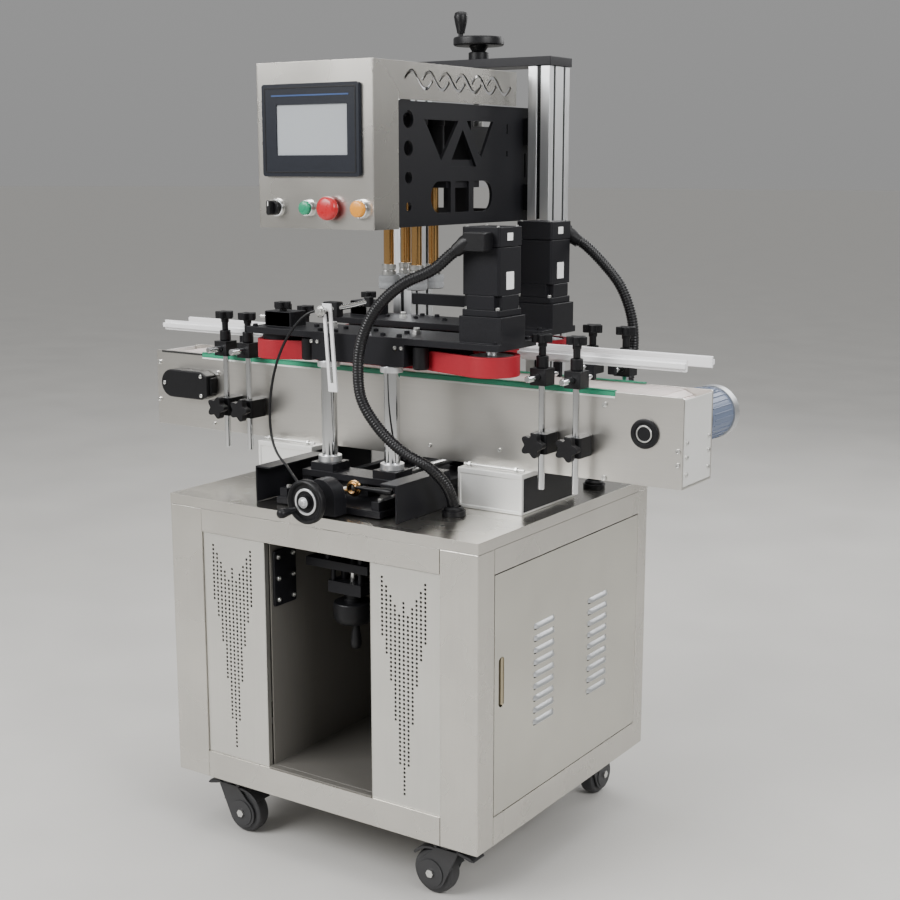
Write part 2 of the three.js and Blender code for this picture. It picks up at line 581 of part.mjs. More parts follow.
function liftPlatform() {
  const { halfX, front, back, bottom, thickness, railX } = LIFT;
  const top = bottom + thickness;
  const solids = [
    box(-halfX, halfX, front, back, bottom, top),
    box(WIDTH_SCREW.x - 34, WIDTH_SCREW.x + 34, front - 34, front + 1, bottom, SCREW_Z),
    rod('y', [WIDTH_SCREW.x, front - 34, SCREW_Z], 32, 34, 24),
    box(WIDTH_SCREW.x - 16, WIDTH_SCREW.x + 16, back - 30, back, top - 1, SCREW_Z + 14),
  ];
  for (const side of [-1, 1]) {
    solids.push(box(side * railX - 8, side * railX + 8, front + 4, back - 4, top - 1, top + 16));
    solids.push(rod('z', [side * LIFT_ROD.x, LIFT_ROD.y, LIFT_ROD.bottom], TABLE_TOP + 4 - LIFT_ROD.bottom, LIFT_ROD.radius, 16));
  }
  return cut(join(...solids), rod('y', [WIDTH_SCREW.x, front - 40, SCREW_Z], back - front + 80, WIDTH_SCREW.radius + GAP, 16));
}

function widthHandwheel() {
  const { x, front, radius } = WIDTH_SCREW;
  const back = LIFT.back - 4;
  return join(
    rod('y', [x, front, SCREW_Z], back - front, radius, 16),
    rod('y', [x, front, SCREW_Z], 14, 40, 32),
    rod('y', [x, front + 12, SCREW_Z], 24, 16, 20),
    rod('y', [x - 22, front - 42, SCREW_Z - 16], 43, 9, 14, 8),
  );
}

// `side` is -1 for the front carriage and +1 for the rear one.
function carriage(side) {
  const y = CENTRE_Y + side * CHROME.offsetY;
  const railTop = LIFT.bottom + LIFT.thickness + 16;
  const plateBottom = railTop + 12;
  const plateTop = plateBottom + 12;
  const { x, radius, bottom } = CHROME;
  const solids = [box(-116, 116, y - 30, y + 30, plateBottom, plateTop)];
  solids.push(box(WIDTH_SCREW.x - 20, WIDTH_SCREW.x + 20, y - 20, y + 20, LIFT.bottom + LIFT.thickness + 1, plateTop));
  for (const s of [-1, 1]) {
    solids.push(box(s * LIFT.railX - 14, s * LIFT.railX + 10.5, y - 26, y + 26, railTop + GAP, plateBottom + 1));
    solids.push(box(s * x - 26, s * x + 26, y - 26, y + 26, plateTop - 1, bottom + 4));
    solids.push(rod('z', [s * x, y, bottom], BEAM.bottom - GAP - bottom, radius, 20));
  }
  return cut(join(...solids), rod('y', [WIDTH_SCREW.x, y - 40, SCREW_Z], 80, WIDTH_SCREW.radius + GAP, 16));
}

function clampPlate(side, driveX) {
  const { bottom, thickness, outerOffset, innerOffset } = CLAMP_PLATE;
  const span = (near, far) => [near, far].map((offset) => CENTRE_Y + side * offset).sort((a, b) => a - b);
  const [y0, y1] = span(innerOffset, outerOffset);
  const pulleyY = CENTRE_Y + side * BELT.offsetY;
  const right = driveX + 44;
  const blockX = [driveX - SERVO.half - 4, driveX + SERVO.half + 6];
  const top = bottom + thickness;
  const beltInner = BELT.radius - BELT.thickness;
  const idlerX = BELT.idlerX;
  const solids = [
    box(-256, right, y0, y1, bottom, top),
    box(blockX[0], blockX[1], pulleyY - 40, pulleyY + 40, top - 1, top + SERVO.blockHeight - 12),
    rod('z', [idlerX, pulleyY, BELT.bottom + 4], bottom - BELT.bottom - 3, beltInner - 1, 24),
    box(idlerX - 30, idlerX + 34, pulleyY - 20, pulleyY + 26, top - 1, top + 28),
    box(-150, driveX - 62, ...span(BEAM.pressInner, BEAM.pressOuter), BELT.bottom + 4, bottom + 1),
    box(BEAM.left, BEAM.right, ...span(BEAM.inner, BEAM.outer), BEAM.bottom, bottom + 1),
  ];
  const bore = rod('z', [driveX, pulleyY, bottom - 50], 110, 10 + GAP, 16);
  return cut(join(...solids), bore);
}

// Where a straight run from (dx, dy) touches a pulley of this radius, as an angle from its centre.
function tangentAngle(dx, dy, radius) {
  const swing = Math.acos(radius / Math.hypot(dx, dy));
  return Math.atan2(dy, dx) + (dx < 0 ? -swing : swing);
}

// A grip belt runs straight on the bottle side; rollers press its outer run in behind the beam.
function beltOutline(side, driveX, inset) {
  const y = CENTRE_Y + side * BELT.offsetY;
  const radius = BELT.radius - inset;
  const waist = BELT.waist - inset;
  const waistRight = BEAM.right + 22;
  const waistLeft = BEAM.left - 22;
  const leaveDrive = tangentAngle(waistRight - driveX, waist, radius);
  const reachIdler = tangentAngle(waistLeft - BELT.idlerX, waist, radius);
  const shape = new THREE.Shape();
  shape.moveTo(BELT.idlerX, y - side * radius);
  shape.lineTo(driveX, y - side * radius);
  shape.absarc(driveX, y, radius, -side * Math.PI / 2, side * leaveDrive, side < 0);
  shape.lineTo(waistRight, y + side * waist);
  shape.lineTo(waistLeft, y + side * waist);
  shape.absarc(BELT.idlerX, y, radius, side * reachIdler, side * Math.PI * 1.5, side < 0);
  return shape;
}

function gripBelt(side, driveX) {
  const loop = prism(beltOutline(side, driveX, 0), 'z', BELT.bottom, BELT.top);
  const inside = prism(beltOutline(side, driveX, BELT.thickness), 'z', BELT.bottom - 1, BELT.top + 1);
  return cut(loop, inside);
}

function drivePulley(side, driveX) {
  const y = CENTRE_Y + side * BELT.offsetY;
  const radius = BELT.radius - BELT.thickness - 1;
  return join(
    rod('z', [driveX, y, BELT.bottom + 2], BELT.top - BELT.bottom - 4, radius, 28),
    rod('z', [driveX, y, BELT.top - 4], CLAMP_PLATE.bottom + CLAMP_PLATE.thickness + 40 - BELT.top, 10, 16),
  );
}

function servoMotor(side, driveX) {
  const y = CENTRE_Y + side * BELT.offsetY;
  const z0 = CLAMP_PLATE.bottom + CLAMP_PLATE.thickness + SERVO.blockHeight - 12 + GAP;
  const { half, height } = SERVO;
  const notch = 10;
  const body = box(driveX - half, driveX + half, y - half, y + half, z0, z0 + height);
  const tools = [];
  for (const sx of [-1, 1]) {
    for (const sy of [-1, 1]) {
      const cx = driveX + sx * half;
      const cy = y + sy * half;
      tools.push(box(cx - notch, cx + notch, cy - notch, cy + notch, z0 + 12, z0 + 118));
    }
  }
  const motor = cut(body, ...tools);
  const face = y + side * half;
  const boxX = driveX + 3;
  const [y0, y1] = [Math.min(face - side, face + side * 27), Math.max(face - side, face + side * 27)];
  return join(motor, box(boxX - 22, boxX + 22, y0, y1, z0 + height - 40, z0 + height - 8));
}

function baseCover(side) {
  const outer = side < 0 ? -163 : 159;
  const wall = 3;
  const [w0, w1] = side < 0 ? [outer, outer + wall] : [outer - wall, outer];
  const [f0, f1] = side < 0 ? [outer, outer + 35] : [outer - 35, outer];
  const z0 = TABLE_TOP + GAP;
  const z1 = TABLE_TOP + 68.6;
  return join(box(w0, w1, -281, -112, z0, z1), box(f0, f1, -281, -112, z1 - wall, z1));
}

// ---- cords -----------------------------------------------------------------------------
const FRONT_CONDUIT = [
  [239, -196, 1160], [220, -201, 1146], [192, -214, 1120], [138, -230, 1093], [88, -240, 1048], [60, -245, 993],
  [52, -246, 938], [58, -244, 886], [90, -236, 836], [137, -226, 796], [180, -210, 771], [200, -188, 738],
  [204, -170, 700], [204, -168, 680], [204, -168, 640], [206, -166, 590], [214, -160, 540],
];
const REAR_CONDUIT = [
  [244, 182, 1160], [266, 188, 1147], [300, 191, 1118], [342, 192, 1072], [366, 192, 1018], [373, 191, 965],
  [366, 189, 900], [351, 186, 830], [331, 181, 765], [313, 176, 720], [305, 172, 688], [305, 172, 640],
  [303, 170, 590], [296, 164, 540],
];
const SENSOR_CABLE = [
  [-62, -208, 1036], [-82, -214, 1031], [-106, -219, 1012], [-136, -225, 970], [-160, -229, 905], [-168, -231, 832],
  [-157, -236, 785], [-138, -244, 765], [-112, -254, 751], [-84, -267, 736], [-56, -282, 724], [-31, -294, 720],
];
const CONDUIT_RADIUS = 10.5;
const CABLE_RADIUS = 2.5;

// ---- assembly --------------------------------------------------------------------------
addPart('cabinet_frame', STAINLESS, cabinetFrame());
addPart('table_top', STAINLESS, tableTop());
addPart('front_panel_left', STAINLESS, frontPanel(-CABINET.halfX + POST.width, BAY.left));
addPart('front_panel_right', STAINLESS, frontPanel(BAY.right, CABINET.halfX - POST.width));
addPart('bay_liner', STAINLESS, bayLiner());
addPart('rear_panel', STAINLESS, box(-271, 271, CABINET.halfY - 6, CABINET.halfY - 3, PANEL_BOTTOM, PANEL_TOP));
addPart('door_right', STAINLESS, door());

const CASTERS = [
  ['front_left', -CASTER.x, -CASTER.y, [1, 0]],
  ['front_right', CASTER.x, -CASTER.y, [-1, 0]],
  ['rear_left', -CASTER.x, CASTER.y, [0, 1]],
  ['rear_right', CASTER.x, CASTER.y, [0, 1]],
];
for (const [place, x, y, trail] of CASTERS) {
  addPart(`caster_fork_${place}`, BLACK_METAL, casterFork(x, y, trail));
  addPart(`caster_wheel_${place}`, BLACK_PLASTIC, casterWheel(x, y, trail));
}

addPart('base_cover_left', BLACK_METAL, baseCover(-1));
addPart('base_cover_right', BLACK_METAL, baseCover(1));
addPart('conveyor_foot_left', ALUMINIUM, conveyorFoot(-1));
addPart('conveyor_foot_right', ALUMINIUM, conveyorFoot(1));
addPart('conveyor_frame', STAINLESS, conveyorFrame());
addPart('conveyor_chain', PINK_PLASTIC, conveyorChain());
addPart('conveyor_motor', MOTOR_PAINT, conveyorMotor());
addPart('drive_roller', BLACK_PLASTIC, conveyorRoller(CHAIN.drive, CONVEYOR.back + 18));
addPart('idler_roller', BLACK_PLASTIC, conveyorRoller(CHAIN.idler, CONVEYOR.back - PLATE - 1));

addPart('guide_rail_front_left', ALUMINIUM, guideRail(-615, -270, -1, POST_X.left));
addPart('guide_rail_front_right', ALUMINIUM, guideRail(262, 590, -1, POST_X.right));
addPart('guide_rail_rear_left', ALUMINIUM, guideRail(-615, -270, 1, POST_X.left));
addPart('guide_rail_rear_right', ALUMINIUM, guideRail(234, RAIL.end, 1, POST_X.right));

addPart('column_left', ALUMINIUM, extrusionColumn(-1));
addPart('column_right', ALUMINIUM, extrusionColumn(1));
addPart('column_cap', BLACK_METAL, columnCap());
addPart('head_handwheel', BLACK_PLASTIC, headHandwheel());
addPart('head_frame', BLACK_METAL, headFrame());
addPart('hmi_box', STAINLESS, hmiBox());
addPart('hmi_panel', BLACK_PLASTIC, hmiPanel());
addPart('selector_switch', BLACK_PLASTIC, selectorSwitch());
addPart('green_button', GREEN_PLASTIC, pushButton(-16, 12, 6));
addPart('red_button', RED_PLASTIC, pushButton(35.5, 20, 12));
addPart('yellow_button', YELLOW_PLASTIC, pushButton(99, 14, 8));
SPINDLE_SIGNS.forEach(([sx, sy], i) => addPart(`spindle_${i + 1}`, BRASS, spindle(sx, sy)));

addPart('lift_guide', BLACK_METAL, liftGuide());
addPart('lift_handwheel', BLACK_PLASTIC, liftHandwheel());
addPart('lift_platform', BLACK_METAL, liftPlatform());
addPart('width_handwheel', ALUMINIUM, widthHandwheel());
for (const [place, side, driveX] of [['front', -1, SERVO.frontX], ['rear', 1, SERVO.rearX]]) {
  addPart(`carriage_${place}`, CHROMED, carriage(side));
  addPart(`clamp_plate_${place}`, BLACK_METAL, clampPlate(side, driveX));
  addPart(`grip_belt_${place}`, RED_RUBBER, gripBelt(side, driveX));
  addPart(`drive_pulley_${place}`, ALUMINIUM, drivePulley(side, driveX));
  addPart(`servo_motor_${place}`, BLACK_METAL, servoMotor(side, driveX));
}
addPart('conduit_front', BLACK_PLASTIC, hose(FRONT_CONDUIT, CONDUIT_RADIUS, 40));
addPart('conduit_rear', BLACK_PLASTIC, hose(REAR_CONDUIT, CONDUIT_RADIUS, 36));
addPart('sensor_cable', BLACK_PLASTIC, hose(SENSOR_CABLE, CABLE_RADIUS, 40));

export default machine;
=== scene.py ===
"""Looks for a floor-standing bottle capping machine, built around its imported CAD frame.

Sizes and places are in millimetres in the machine's own design space, whose origin is on the floor
under the middle of the cabinet; at() turns them into the frame's metres. Materials, the floor and the
lights are in metres.
"""
import bmesh
import bpy
import json
import math
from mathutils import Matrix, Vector
from mathutils.geometry import tessellate_polygon


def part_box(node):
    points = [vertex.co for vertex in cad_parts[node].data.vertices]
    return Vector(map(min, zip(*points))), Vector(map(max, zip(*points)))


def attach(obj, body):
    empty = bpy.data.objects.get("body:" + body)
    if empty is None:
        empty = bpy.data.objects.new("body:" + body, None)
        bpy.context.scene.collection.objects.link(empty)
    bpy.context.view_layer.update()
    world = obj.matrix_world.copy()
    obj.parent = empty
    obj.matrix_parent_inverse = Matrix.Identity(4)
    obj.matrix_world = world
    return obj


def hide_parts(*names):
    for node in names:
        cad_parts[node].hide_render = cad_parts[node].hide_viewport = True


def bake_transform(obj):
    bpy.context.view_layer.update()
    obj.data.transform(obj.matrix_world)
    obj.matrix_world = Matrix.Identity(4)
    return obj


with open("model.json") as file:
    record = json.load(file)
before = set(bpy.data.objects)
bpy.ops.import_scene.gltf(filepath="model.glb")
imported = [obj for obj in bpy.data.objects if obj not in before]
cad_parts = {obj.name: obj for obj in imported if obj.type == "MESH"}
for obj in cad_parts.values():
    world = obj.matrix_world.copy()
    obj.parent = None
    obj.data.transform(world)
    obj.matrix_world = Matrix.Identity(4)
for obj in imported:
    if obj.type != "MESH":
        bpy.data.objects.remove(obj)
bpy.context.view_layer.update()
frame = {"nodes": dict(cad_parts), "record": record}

# ---- design space ----------------------------------------------------------------------
MM = 0.001
TABLE_LOW, TABLE_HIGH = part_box("table_top")
ORIGIN = Vector(((TABLE_LOW[0] + TABLE_HIGH[0]) / 2, (TABLE_LOW[1] + TABLE_HIGH[1]) / 2, 0.0))
GLAND_RING = 9  # the table's box ends at the rings round its two cable holes
T = TABLE_HIGH[2] / MM - GLAND_RING


def at(x, y, z):
    return Vector((x * MM, y * MM, z * MM)) + ORIGIN


# ---- shapes: (vertices, faces) in design millimetres ------------------------------------
def block(x0, x1, y0, y1, z0, z1):
    verts = [(x, y, z) for x in (x0, x1) for y in (y0, y1) for z in (z0, z1)]
    faces = [(0, 1, 3, 2), (4, 6, 7, 5), (0, 4, 5, 1), (2, 3, 7, 6), (0, 2, 6, 4), (1, 5, 7, 3)]
    return verts, faces


def on_axis(axis, u, v, along):
    """A point from its two section coordinates and its place along the axis."""
    if axis == "x":
        return (along, u, v)
    if axis == "y":
        return (u, along, v)
    return (u, v, along)


ON_AXIS = 1e-6


def lathe(profile, axis, centre, steps=40, bore=False):
    """A turned solid. The profile is (radius, distance along the axis from the centre).

    A profile that starts or ends away from the axis is closed there with a flat disc. With bore it
    goes on from its last point to its first instead, which leaves a clear hole through the piece.
    """
    verts, faces, loops = [], [], []
    for radius, along in profile:
        count = 1 if radius < ON_AXIS else steps
        loops.append(range(len(verts), len(verts) + count))
        for i in range(count):
            angle = 2 * math.pi * i / steps
            point = on_axis(axis, radius * math.cos(angle), radius * math.sin(angle), along)
            verts.append(tuple(c + p for c, p in zip(centre, point)))
    for a, b in zip(loops, loops[1:] + (loops[:1] if bore else [])):
        for i in range(steps):
            j = (i + 1) % steps
            quad = [a[i % len(a)], a[j % len(a)], b[j % len(b)], b[i % len(b)]]
            corners = list(dict.fromkeys(quad))
            if len(corners) > 2:
                faces.append(tuple(corners))
    for loop in (loops[0], loops[-1]):
        if len(loop) > 1 and not bore:
            faces.append(tuple(loop))
    return verts, faces


def rod(axis, start, length, radius, chamfer=0.6, steps=32):
    """A solid round bar with chamfered ends."""
    c = min(chamfer, radius * 0.4, abs(length) * 0.4)
    profile = [(radius - c, 0), (radius, c), (radius, length - c), (radius - c, length)]
    return lathe(profile, axis, start, steps)


def ring(axis, start, length, outer, inner, chamfer=0.5, steps=40):
    """A round collar with a clear bore."""
    c = min(chamfer, (outer - inner) * 0.3)
    profile = [(inner, 0), (outer - c, 0), (outer, c), (outer, length - c), (outer - c, length),
               (inner, length)]
    return lathe(profile, axis, start, steps, bore=True)


def prism(outline, axis, low, high, holes=()):
    """An extruded outline, which may have holes."""
    loops = [list(outline), *[list(hole) for hole in holes]]
    points = [p for loop in loops for p in loop]
    count = len(points)
    verts = [on_axis(axis, u, v, along) for along in (low, high) for u, v in points]
    faces = []
    if holes:
        flat = [[Vector((u, v, 0)) for u, v in loop] for loop in loops]
        caps = tessellate_polygon(flat)
    else:
        caps = [tuple(range(count))]
    for cap in caps:
        faces.append(tuple(cap))
        faces.append(tuple(i + count for i in reversed(cap)))
    start = 0
    for loop in loops:
        for i in range(len(loop)):
            a, b = start + i, start + (i + 1) % len(loop)
            faces.append((a, b, b + count, a + count))
        start += len(loop)
    return verts, faces


def circle(u, v, radius, steps=24, turn=0.0):
    angles = [turn + 2 * math.pi * i / steps for i in range(steps)]
    return [(u + radius * math.cos(a), v + radius * math.sin(a)) for a in angles]


def arc(u, v, radius, start, end, steps=12):
    angles = [math.radians(start + (end - start) * i / steps) for i in range(steps + 1)]
    return [(u + radius * math.cos(a), v + radius * math.sin(a)) for a in angles]


def rectangle(u0, u1, v0, v1):
    return [(u0, v0), (u1, v0), (u1, v1), (u0, v1)]


def rounded(u0, u1, v0, v1, radius, steps=5):
    """A rectangle with round corners."""
    r = radius
    return (arc(u1 - r, v0 + r, r, -90, 0, steps) + arc(u1 - r, v1 - r, r, 0, 90, steps)
            + arc(u0 + r, v1 - r, r, 90, 180, steps) + arc(u0 + r, v0 + r, r, 180, 270, steps))


def stadium(u0, u1, v, radius, steps=20):
    """A slot's outline, with a half circle at each end."""
    return arc(u1, v, radius, -90, 90, steps) + arc(u0, v, radius, 90, 270, steps)


def four(reach):
    """The corners of a square about its middle."""
    return [(u, v) for u in (-reach, reach) for v in (-reach, reach)]


def facing(profile, out):
    """A profile that points forwards along its axis when out is 1 and backwards when it is -1."""
    return [(radius, along * out) for radius, along in profile]


def moved(shape, dx=0, dy=0, dz=0):
    verts, faces = shape
    return [(x + dx, y + dy, z + dz) for x, y, z in verts], faces


def turned(shape, axis, degrees, pivot):
    verts, faces = shape
    angle = math.radians(degrees)
    c, s = math.cos(angle), math.sin(angle)
    i, j = {"x": (1, 2), "y": (2, 0), "z": (0, 1)}[axis]
    out = []
    for vert in verts:
        p = [a - b for a, b in zip(vert, pivot)]
        p[i], p[j] = p[i] * c - p[j] * s, p[i] * s + p[j] * c
        out.append(tuple(a + b for a, b in zip(p, pivot)))
    return out, faces


def smooth_path(points, step):
    """Evenly spaced points on a centripetal Catmull-Rom curve through given points."""
    p = [Vector(q) for q in points]
    p = [2 * p[0] - p[1], *p, 2 * p[-1] - p[-2]]
    dense = []
    for i in range(1, len(p) - 2):
        a, b, c, d = p[i - 1:i + 3]
        t1 = (b - a).length ** 0.5
        t2 = t1 + (c - b).length ** 0.5
        t3 = t2 + (d - c).length ** 0.5
        for k in range(24):
            t = t1 + (t2 - t1) * k / 24
            a1 = a * ((t1 - t) / t1) + b * (t / t1)
            a2 = b * ((t2 - t) / (t2 - t1)) + c * ((t - t1) / (t2 - t1))
            a3 = c * ((t3 - t) / (t3 - t2)) + d * ((t - t2) / (t3 - t2))
            b1 = a1 * ((t2 - t) / t2) + a2 * (t / t2)
            b2 = a2 * ((t3 - t) / (t3 - t1)) + a3 * ((t - t1) / (t3 - t1))
            dense.append(b1 * ((t2 - t) / (t2 - t1)) + b2 * ((t - t1) / (t2 - t1)))
    dense.append(p[-2])
    lengths = [0.0]
    for a, b in zip(dense, dense[1:]):
        lengths.append(lengths[-1] + (b - a).length)
    count = max(2, round(lengths[-1] / step))
    out, k = [], 0
    for i in range(count + 1):
        want = lengths[-1] * i / count
        while k < len(dense) - 2 and lengths[k + 1] < want:
            k += 1
        share = (want - lengths[k]) / max(lengths[k + 1] - lengths[k], 1e-9)
        out.append(dense[k].lerp(dense[k + 1], min(share, 1.0)))
    return out, lengths[-1]


def tube(points, radius_at, sides=14):
    """A closed tube along points; radius_at gives its radius from the point's index."""
    verts, faces = [], []
    normal = (points[1] - points[0]).orthogonal().normalized()
    for i, point in enumerate(points):
        ahead = points[min(i + 1, len(points) - 1)] - points[max(i - 1, 0)]
        ahead.normalize()
        normal = (normal - ahead * normal.dot(ahead)).normalized()
        side = ahead.cross(normal)
        for j in range(sides):
            angle = 2 * math.pi * j / sides
            offset = (normal * math.cos(angle) + side * math.sin(angle)) * radius_at(i)
            verts.append(tuple(point + offset))
    for i in range(len(points) - 1):
        for j in range(sides):
            k = (j + 1) % sides
            faces.append((i * sides + j, i * sides + k, (i + 1) * sides + k, (i + 1) * sides + j))
    faces.append(tuple(range(sides)))
    faces.append(tuple(range(len(verts) - sides, len(verts))))
    return verts, faces


def make(name, shapes, material, body, bevel=0.5, segments=2, replaces=(), smooth=35, slot=None):
    """Joins shapes into one piece, rounds its sharp edges and lets it ride on a body."""
    bm = bmesh.new()
    for verts, faces in shapes:
        made = [bm.verts.new(at(*v)) for v in verts]
        for face in faces:
            try:
                bm.faces.new([made[i] for i in face])
            except ValueError:
                pass
    bmesh.ops.recalc_face_normals(bm, faces=bm.faces)
    return finish_piece(bm, name, material, body, bevel, segments, replaces, smooth, slot)


BEVEL_FROM = math.radians(40)  # an edge between faces that meet at less than this stays as it is


def finish_piece(bm, name, material, body, bevel, segments, replaces, smooth, slot):
    """Bevels and shades a mesh, and parents it to its body's empty."""
    if bevel > 0:
        edges = [e for e in bm.edges if len(e.link_faces) == 2 and e.calc_face_angle(0) > BEVEL_FROM]
        bmesh.ops.bevel(
            bm, geom=edges, offset=bevel * MM, offset_type="OFFSET", segments=segments,
            profile=0.5, affect="EDGES", clamp_overlap=True,
        )
    mesh = bpy.data.meshes.new(name)
    bm.to_mesh(mesh)
    bm.free()
    mesh.shade_smooth()
    mesh.set_sharp_from_angle(angle=math.radians(smooth))
    piece = bpy.data.objects.new(name, mesh)
    bpy.context.scene.collection.objects.link(piece)
    mesh.materials.append(material)
    if bevel > 0:
        even = piece.modifiers.new("flat_faces", "WEIGHTED_NORMAL")
        even.keep_sharp = True
        even.weight = 80
    if body:
        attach(piece, body)
    if replaces:
        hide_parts(*replaces)
    slot = slot or SLOT_OF.get(material.name)
    return piece


def refine(node, material, bevel=0.8, segments=2, smooth=35):
    """A CAD node's own shape with its edges broken, which stands for the node."""
    source = frame["nodes"][node]
    bm = bmesh.new()
    bm.from_mesh(source.data)
    bmesh.ops.remove_doubles(bm, verts=bm.verts, dist=1e-6)
    bmesh.ops.dissolve_limit(bm, angle_limit=math.radians(0.5), verts=bm.verts, edges=bm.edges)
    return finish_piece(bm, node + "_shape", material, body_of(node), bevel, segments, (node,), smooth,
                        None)


def body_of(node):
    for body, nodes in frame["record"]["behaviour"]["bodies"].items():
        if node in nodes:
            return body
    raise KeyError(node)


# ---- materials -------------------------------------------------------------------------
GRAIN_RANGE = (0.2, 0.8)  # the part of the noise's range that the colours are spread over
CLOUD_SCALE = 7.0
DUST_TONE = 0.12
DUST_SHARE = 0.8
WORN_FROM, WORN_TO, WORN_SHARE = 0.995, 0.9, 0.55
BUMP_DEPTH = 0.0004
MIN_ROUGHNESS = 0.04


def surface(name, color, roughness, metallic=0.0, *, stretch=(1, 1, 1), scale=60.0, spread=0.12,
            rough_spread=0.1, bump=0.1, bump_scale=900.0, dirt=0.0, wear=None, wear_width=0.0006,
            **constants):
    """A procedural finish: colour and roughness vary with stretched noise, edges may be worn."""
    mat = bpy.data.materials.new(name)
    mat.use_nodes = True
    nodes, links = mat.node_tree.nodes, mat.node_tree.links
    shader = nodes["Principled BSDF"]
    shader.inputs["Metallic"].default_value = metallic
    for key, value in constants.items():
        shader.inputs[key.replace("_", " ")].default_value = value
    coords = nodes.new("ShaderNodeTexCoord")
    mapping = nodes.new("ShaderNodeMapping")
    mapping.inputs["Scale"].default_value = stretch
    links.new(coords.outputs["Object"], mapping.inputs["Vector"])

    def noise(size, detail, vector):
        node = nodes.new("ShaderNodeTexNoise")
        node.inputs["Scale"].default_value = size
        node.inputs["Detail"].default_value = detail
        links.new(vector, node.inputs["Vector"])
        return node.outputs["Fac"]

    def mix(factor, a, b):
        node = nodes.new("ShaderNodeMix")
        node.data_type = "RGBA"
        links.new(factor, node.inputs["Factor"])
        for socket, value in ((node.inputs["A"], a), (node.inputs["B"], b)):
            if hasattr(value, "is_output"):
                links.new(value, socket)
            else:
                socket.default_value = (*value, 1)
        return node.outputs["Result"]

    def spread_out(value, low, high):
        node = nodes.new("ShaderNodeMapRange")
        node.inputs["From Min"].default_value, node.inputs["From Max"].default_value = GRAIN_RANGE
        node.inputs["To Min"].default_value = low
        node.inputs["To Max"].default_value = high
        links.new(value, node.inputs["Value"])
        return node.outputs["Result"]

    grain = noise(scale, 6.0, mapping.outputs["Vector"])
    cloud = noise(CLOUD_SCALE, 3.0, coords.outputs["Object"])
    dark = tuple(c * (1 - spread) for c in color)
    light = tuple(min(1.0, c * (1 + spread)) for c in color)
    tone = mix(spread_out(grain, 0, 1), dark, light)
    if dirt:
        dusty = tuple(c * (1 - dirt) + DUST_TONE * dirt for c in color)
        tone = mix(spread_out(cloud, 0, DUST_SHARE), tone, dusty)
    if wear:
        edge = nodes.new("ShaderNodeBevel")
        edge.samples = 4
        edge.inputs["Radius"].default_value = wear_width
        geometry = nodes.new("ShaderNodeNewGeometry")
        dot = nodes.new("ShaderNodeVectorMath")
        dot.operation = "DOT_PRODUCT"
        links.new(edge.outputs["Normal"], dot.inputs[0])
        links.new(geometry.outputs["Normal"], dot.inputs[1])
        near_edge = nodes.new("ShaderNodeMapRange")
        near_edge.inputs["From Min"].default_value = WORN_FROM
        near_edge.inputs["From Max"].default_value = WORN_TO
        near_edge.inputs["To Max"].default_value = WORN_SHARE
        links.new(dot.outputs["Value"], near_edge.inputs["Value"])
        tone = mix(near_edge.outputs["Result"], tone, wear)
    links.new(tone, shader.inputs["Base Color"])
    smoothest = max(MIN_ROUGHNESS, roughness - rough_spread)
    gloss = spread_out(cloud if dirt else grain, smoothest, roughness + rough_spread)
    links.new(gloss, shader.inputs["Roughness"])
    if bump:
        fine = noise(bump_scale, 3.0, mapping.outputs["Vector"])
        node = nodes.new("ShaderNodeBump")
        node.inputs["Strength"].default_value = bump
        node.inputs["Distance"].default_value = BUMP_DEPTH
        links.new(fine, node.inputs["Height"])
        links.new(node.outputs["Normal"], shader.inputs["Normal"])
    return mat


ALONG_X = (0.02, 1, 1)
ALONG_Y = (1, 0.02, 1)
ALONG_Z = (1, 1, 0.02)
STEEL_TONE = (0.62, 0.60, 0.555)

steel_x, steel_y, steel_z = (
    surface(f"brushed_steel_{axis}", STEEL_TONE, 0.27, 1.0, stretch=along, scale=330, spread=0.045,
            rough_spread=0.05, bump=0.02, bump_scale=420, dirt=0.22)
    for axis, along in (("x", ALONG_X), ("y", ALONG_Y), ("z", ALONG_Z))
)
door_steel = surface("door_steel", (0.60, 0.585, 0.53), 0.22, 1.0, stretch=ALONG_Z, scale=300,
                     spread=0.035, rough_spread=0.04, bump=0.015, bump_scale=400, dirt=0.2)
# steel darkened to about a third of the cabinet's tone: painted shade for the inside of the bay
bay_steel = surface("bay_steel", (0.20, 0.19, 0.172), 0.42, 0.5, stretch=ALONG_Z, scale=300, spread=0.06,
                    bump=0.03, bump_scale=400, dirt=0.2)
pull_brass = surface("pull_brass", (0.40, 0.34, 0.23), 0.4, 0.8, stretch=ALONG_Z, scale=250, spread=0.06,
                     bump=0.03)
panel_steel = surface("panel_steel", (0.66, 0.65, 0.61), 0.36, 0.95, stretch=ALONG_Z, scale=300,
                      spread=0.035, rough_spread=0.05, bump=0.02, bump_scale=420, dirt=0.1)
belt_side = surface("conveyor_steel", (0.68, 0.66, 0.62), 0.31, 1.0, stretch=ALONG_X, scale=300,
                    spread=0.04, rough_spread=0.05, bump=0.02, bump_scale=420, dirt=0.14)
# steel at about half the cabinet's tone, with dust: the lower tone is painted shade for the inside of the
# cabinet
dark_steel = surface("inner_steel", (0.30, 0.285, 0.26), 0.42, 1.0, stretch=ALONG_Z, scale=500,
                     spread=0.08, bump=0.06, dirt=0.25)
bolt_steel = surface("zinc_bolt", (0.66, 0.66, 0.64), 0.3, 1.0, scale=120, spread=0.06, rough_spread=0.05,
                     bump=0.02)
chrome = surface("hard_chrome", (0.80, 0.81, 0.82), 0.09, 1.0, stretch=ALONG_Z, scale=120, spread=0.03,
                 rough_spread=0.03, bump=0, dirt=0.05)
silver = surface("clear_anodised", (0.74, 0.75, 0.76), 0.36, 0.9, stretch=ALONG_Z, scale=500, spread=0.05,
                 bump=0.06)
white_metal = surface("blasted_aluminium", (0.80, 0.80, 0.78), 0.5, 0.6, scale=400, spread=0.05, bump=0.2,
                      dirt=0.08)
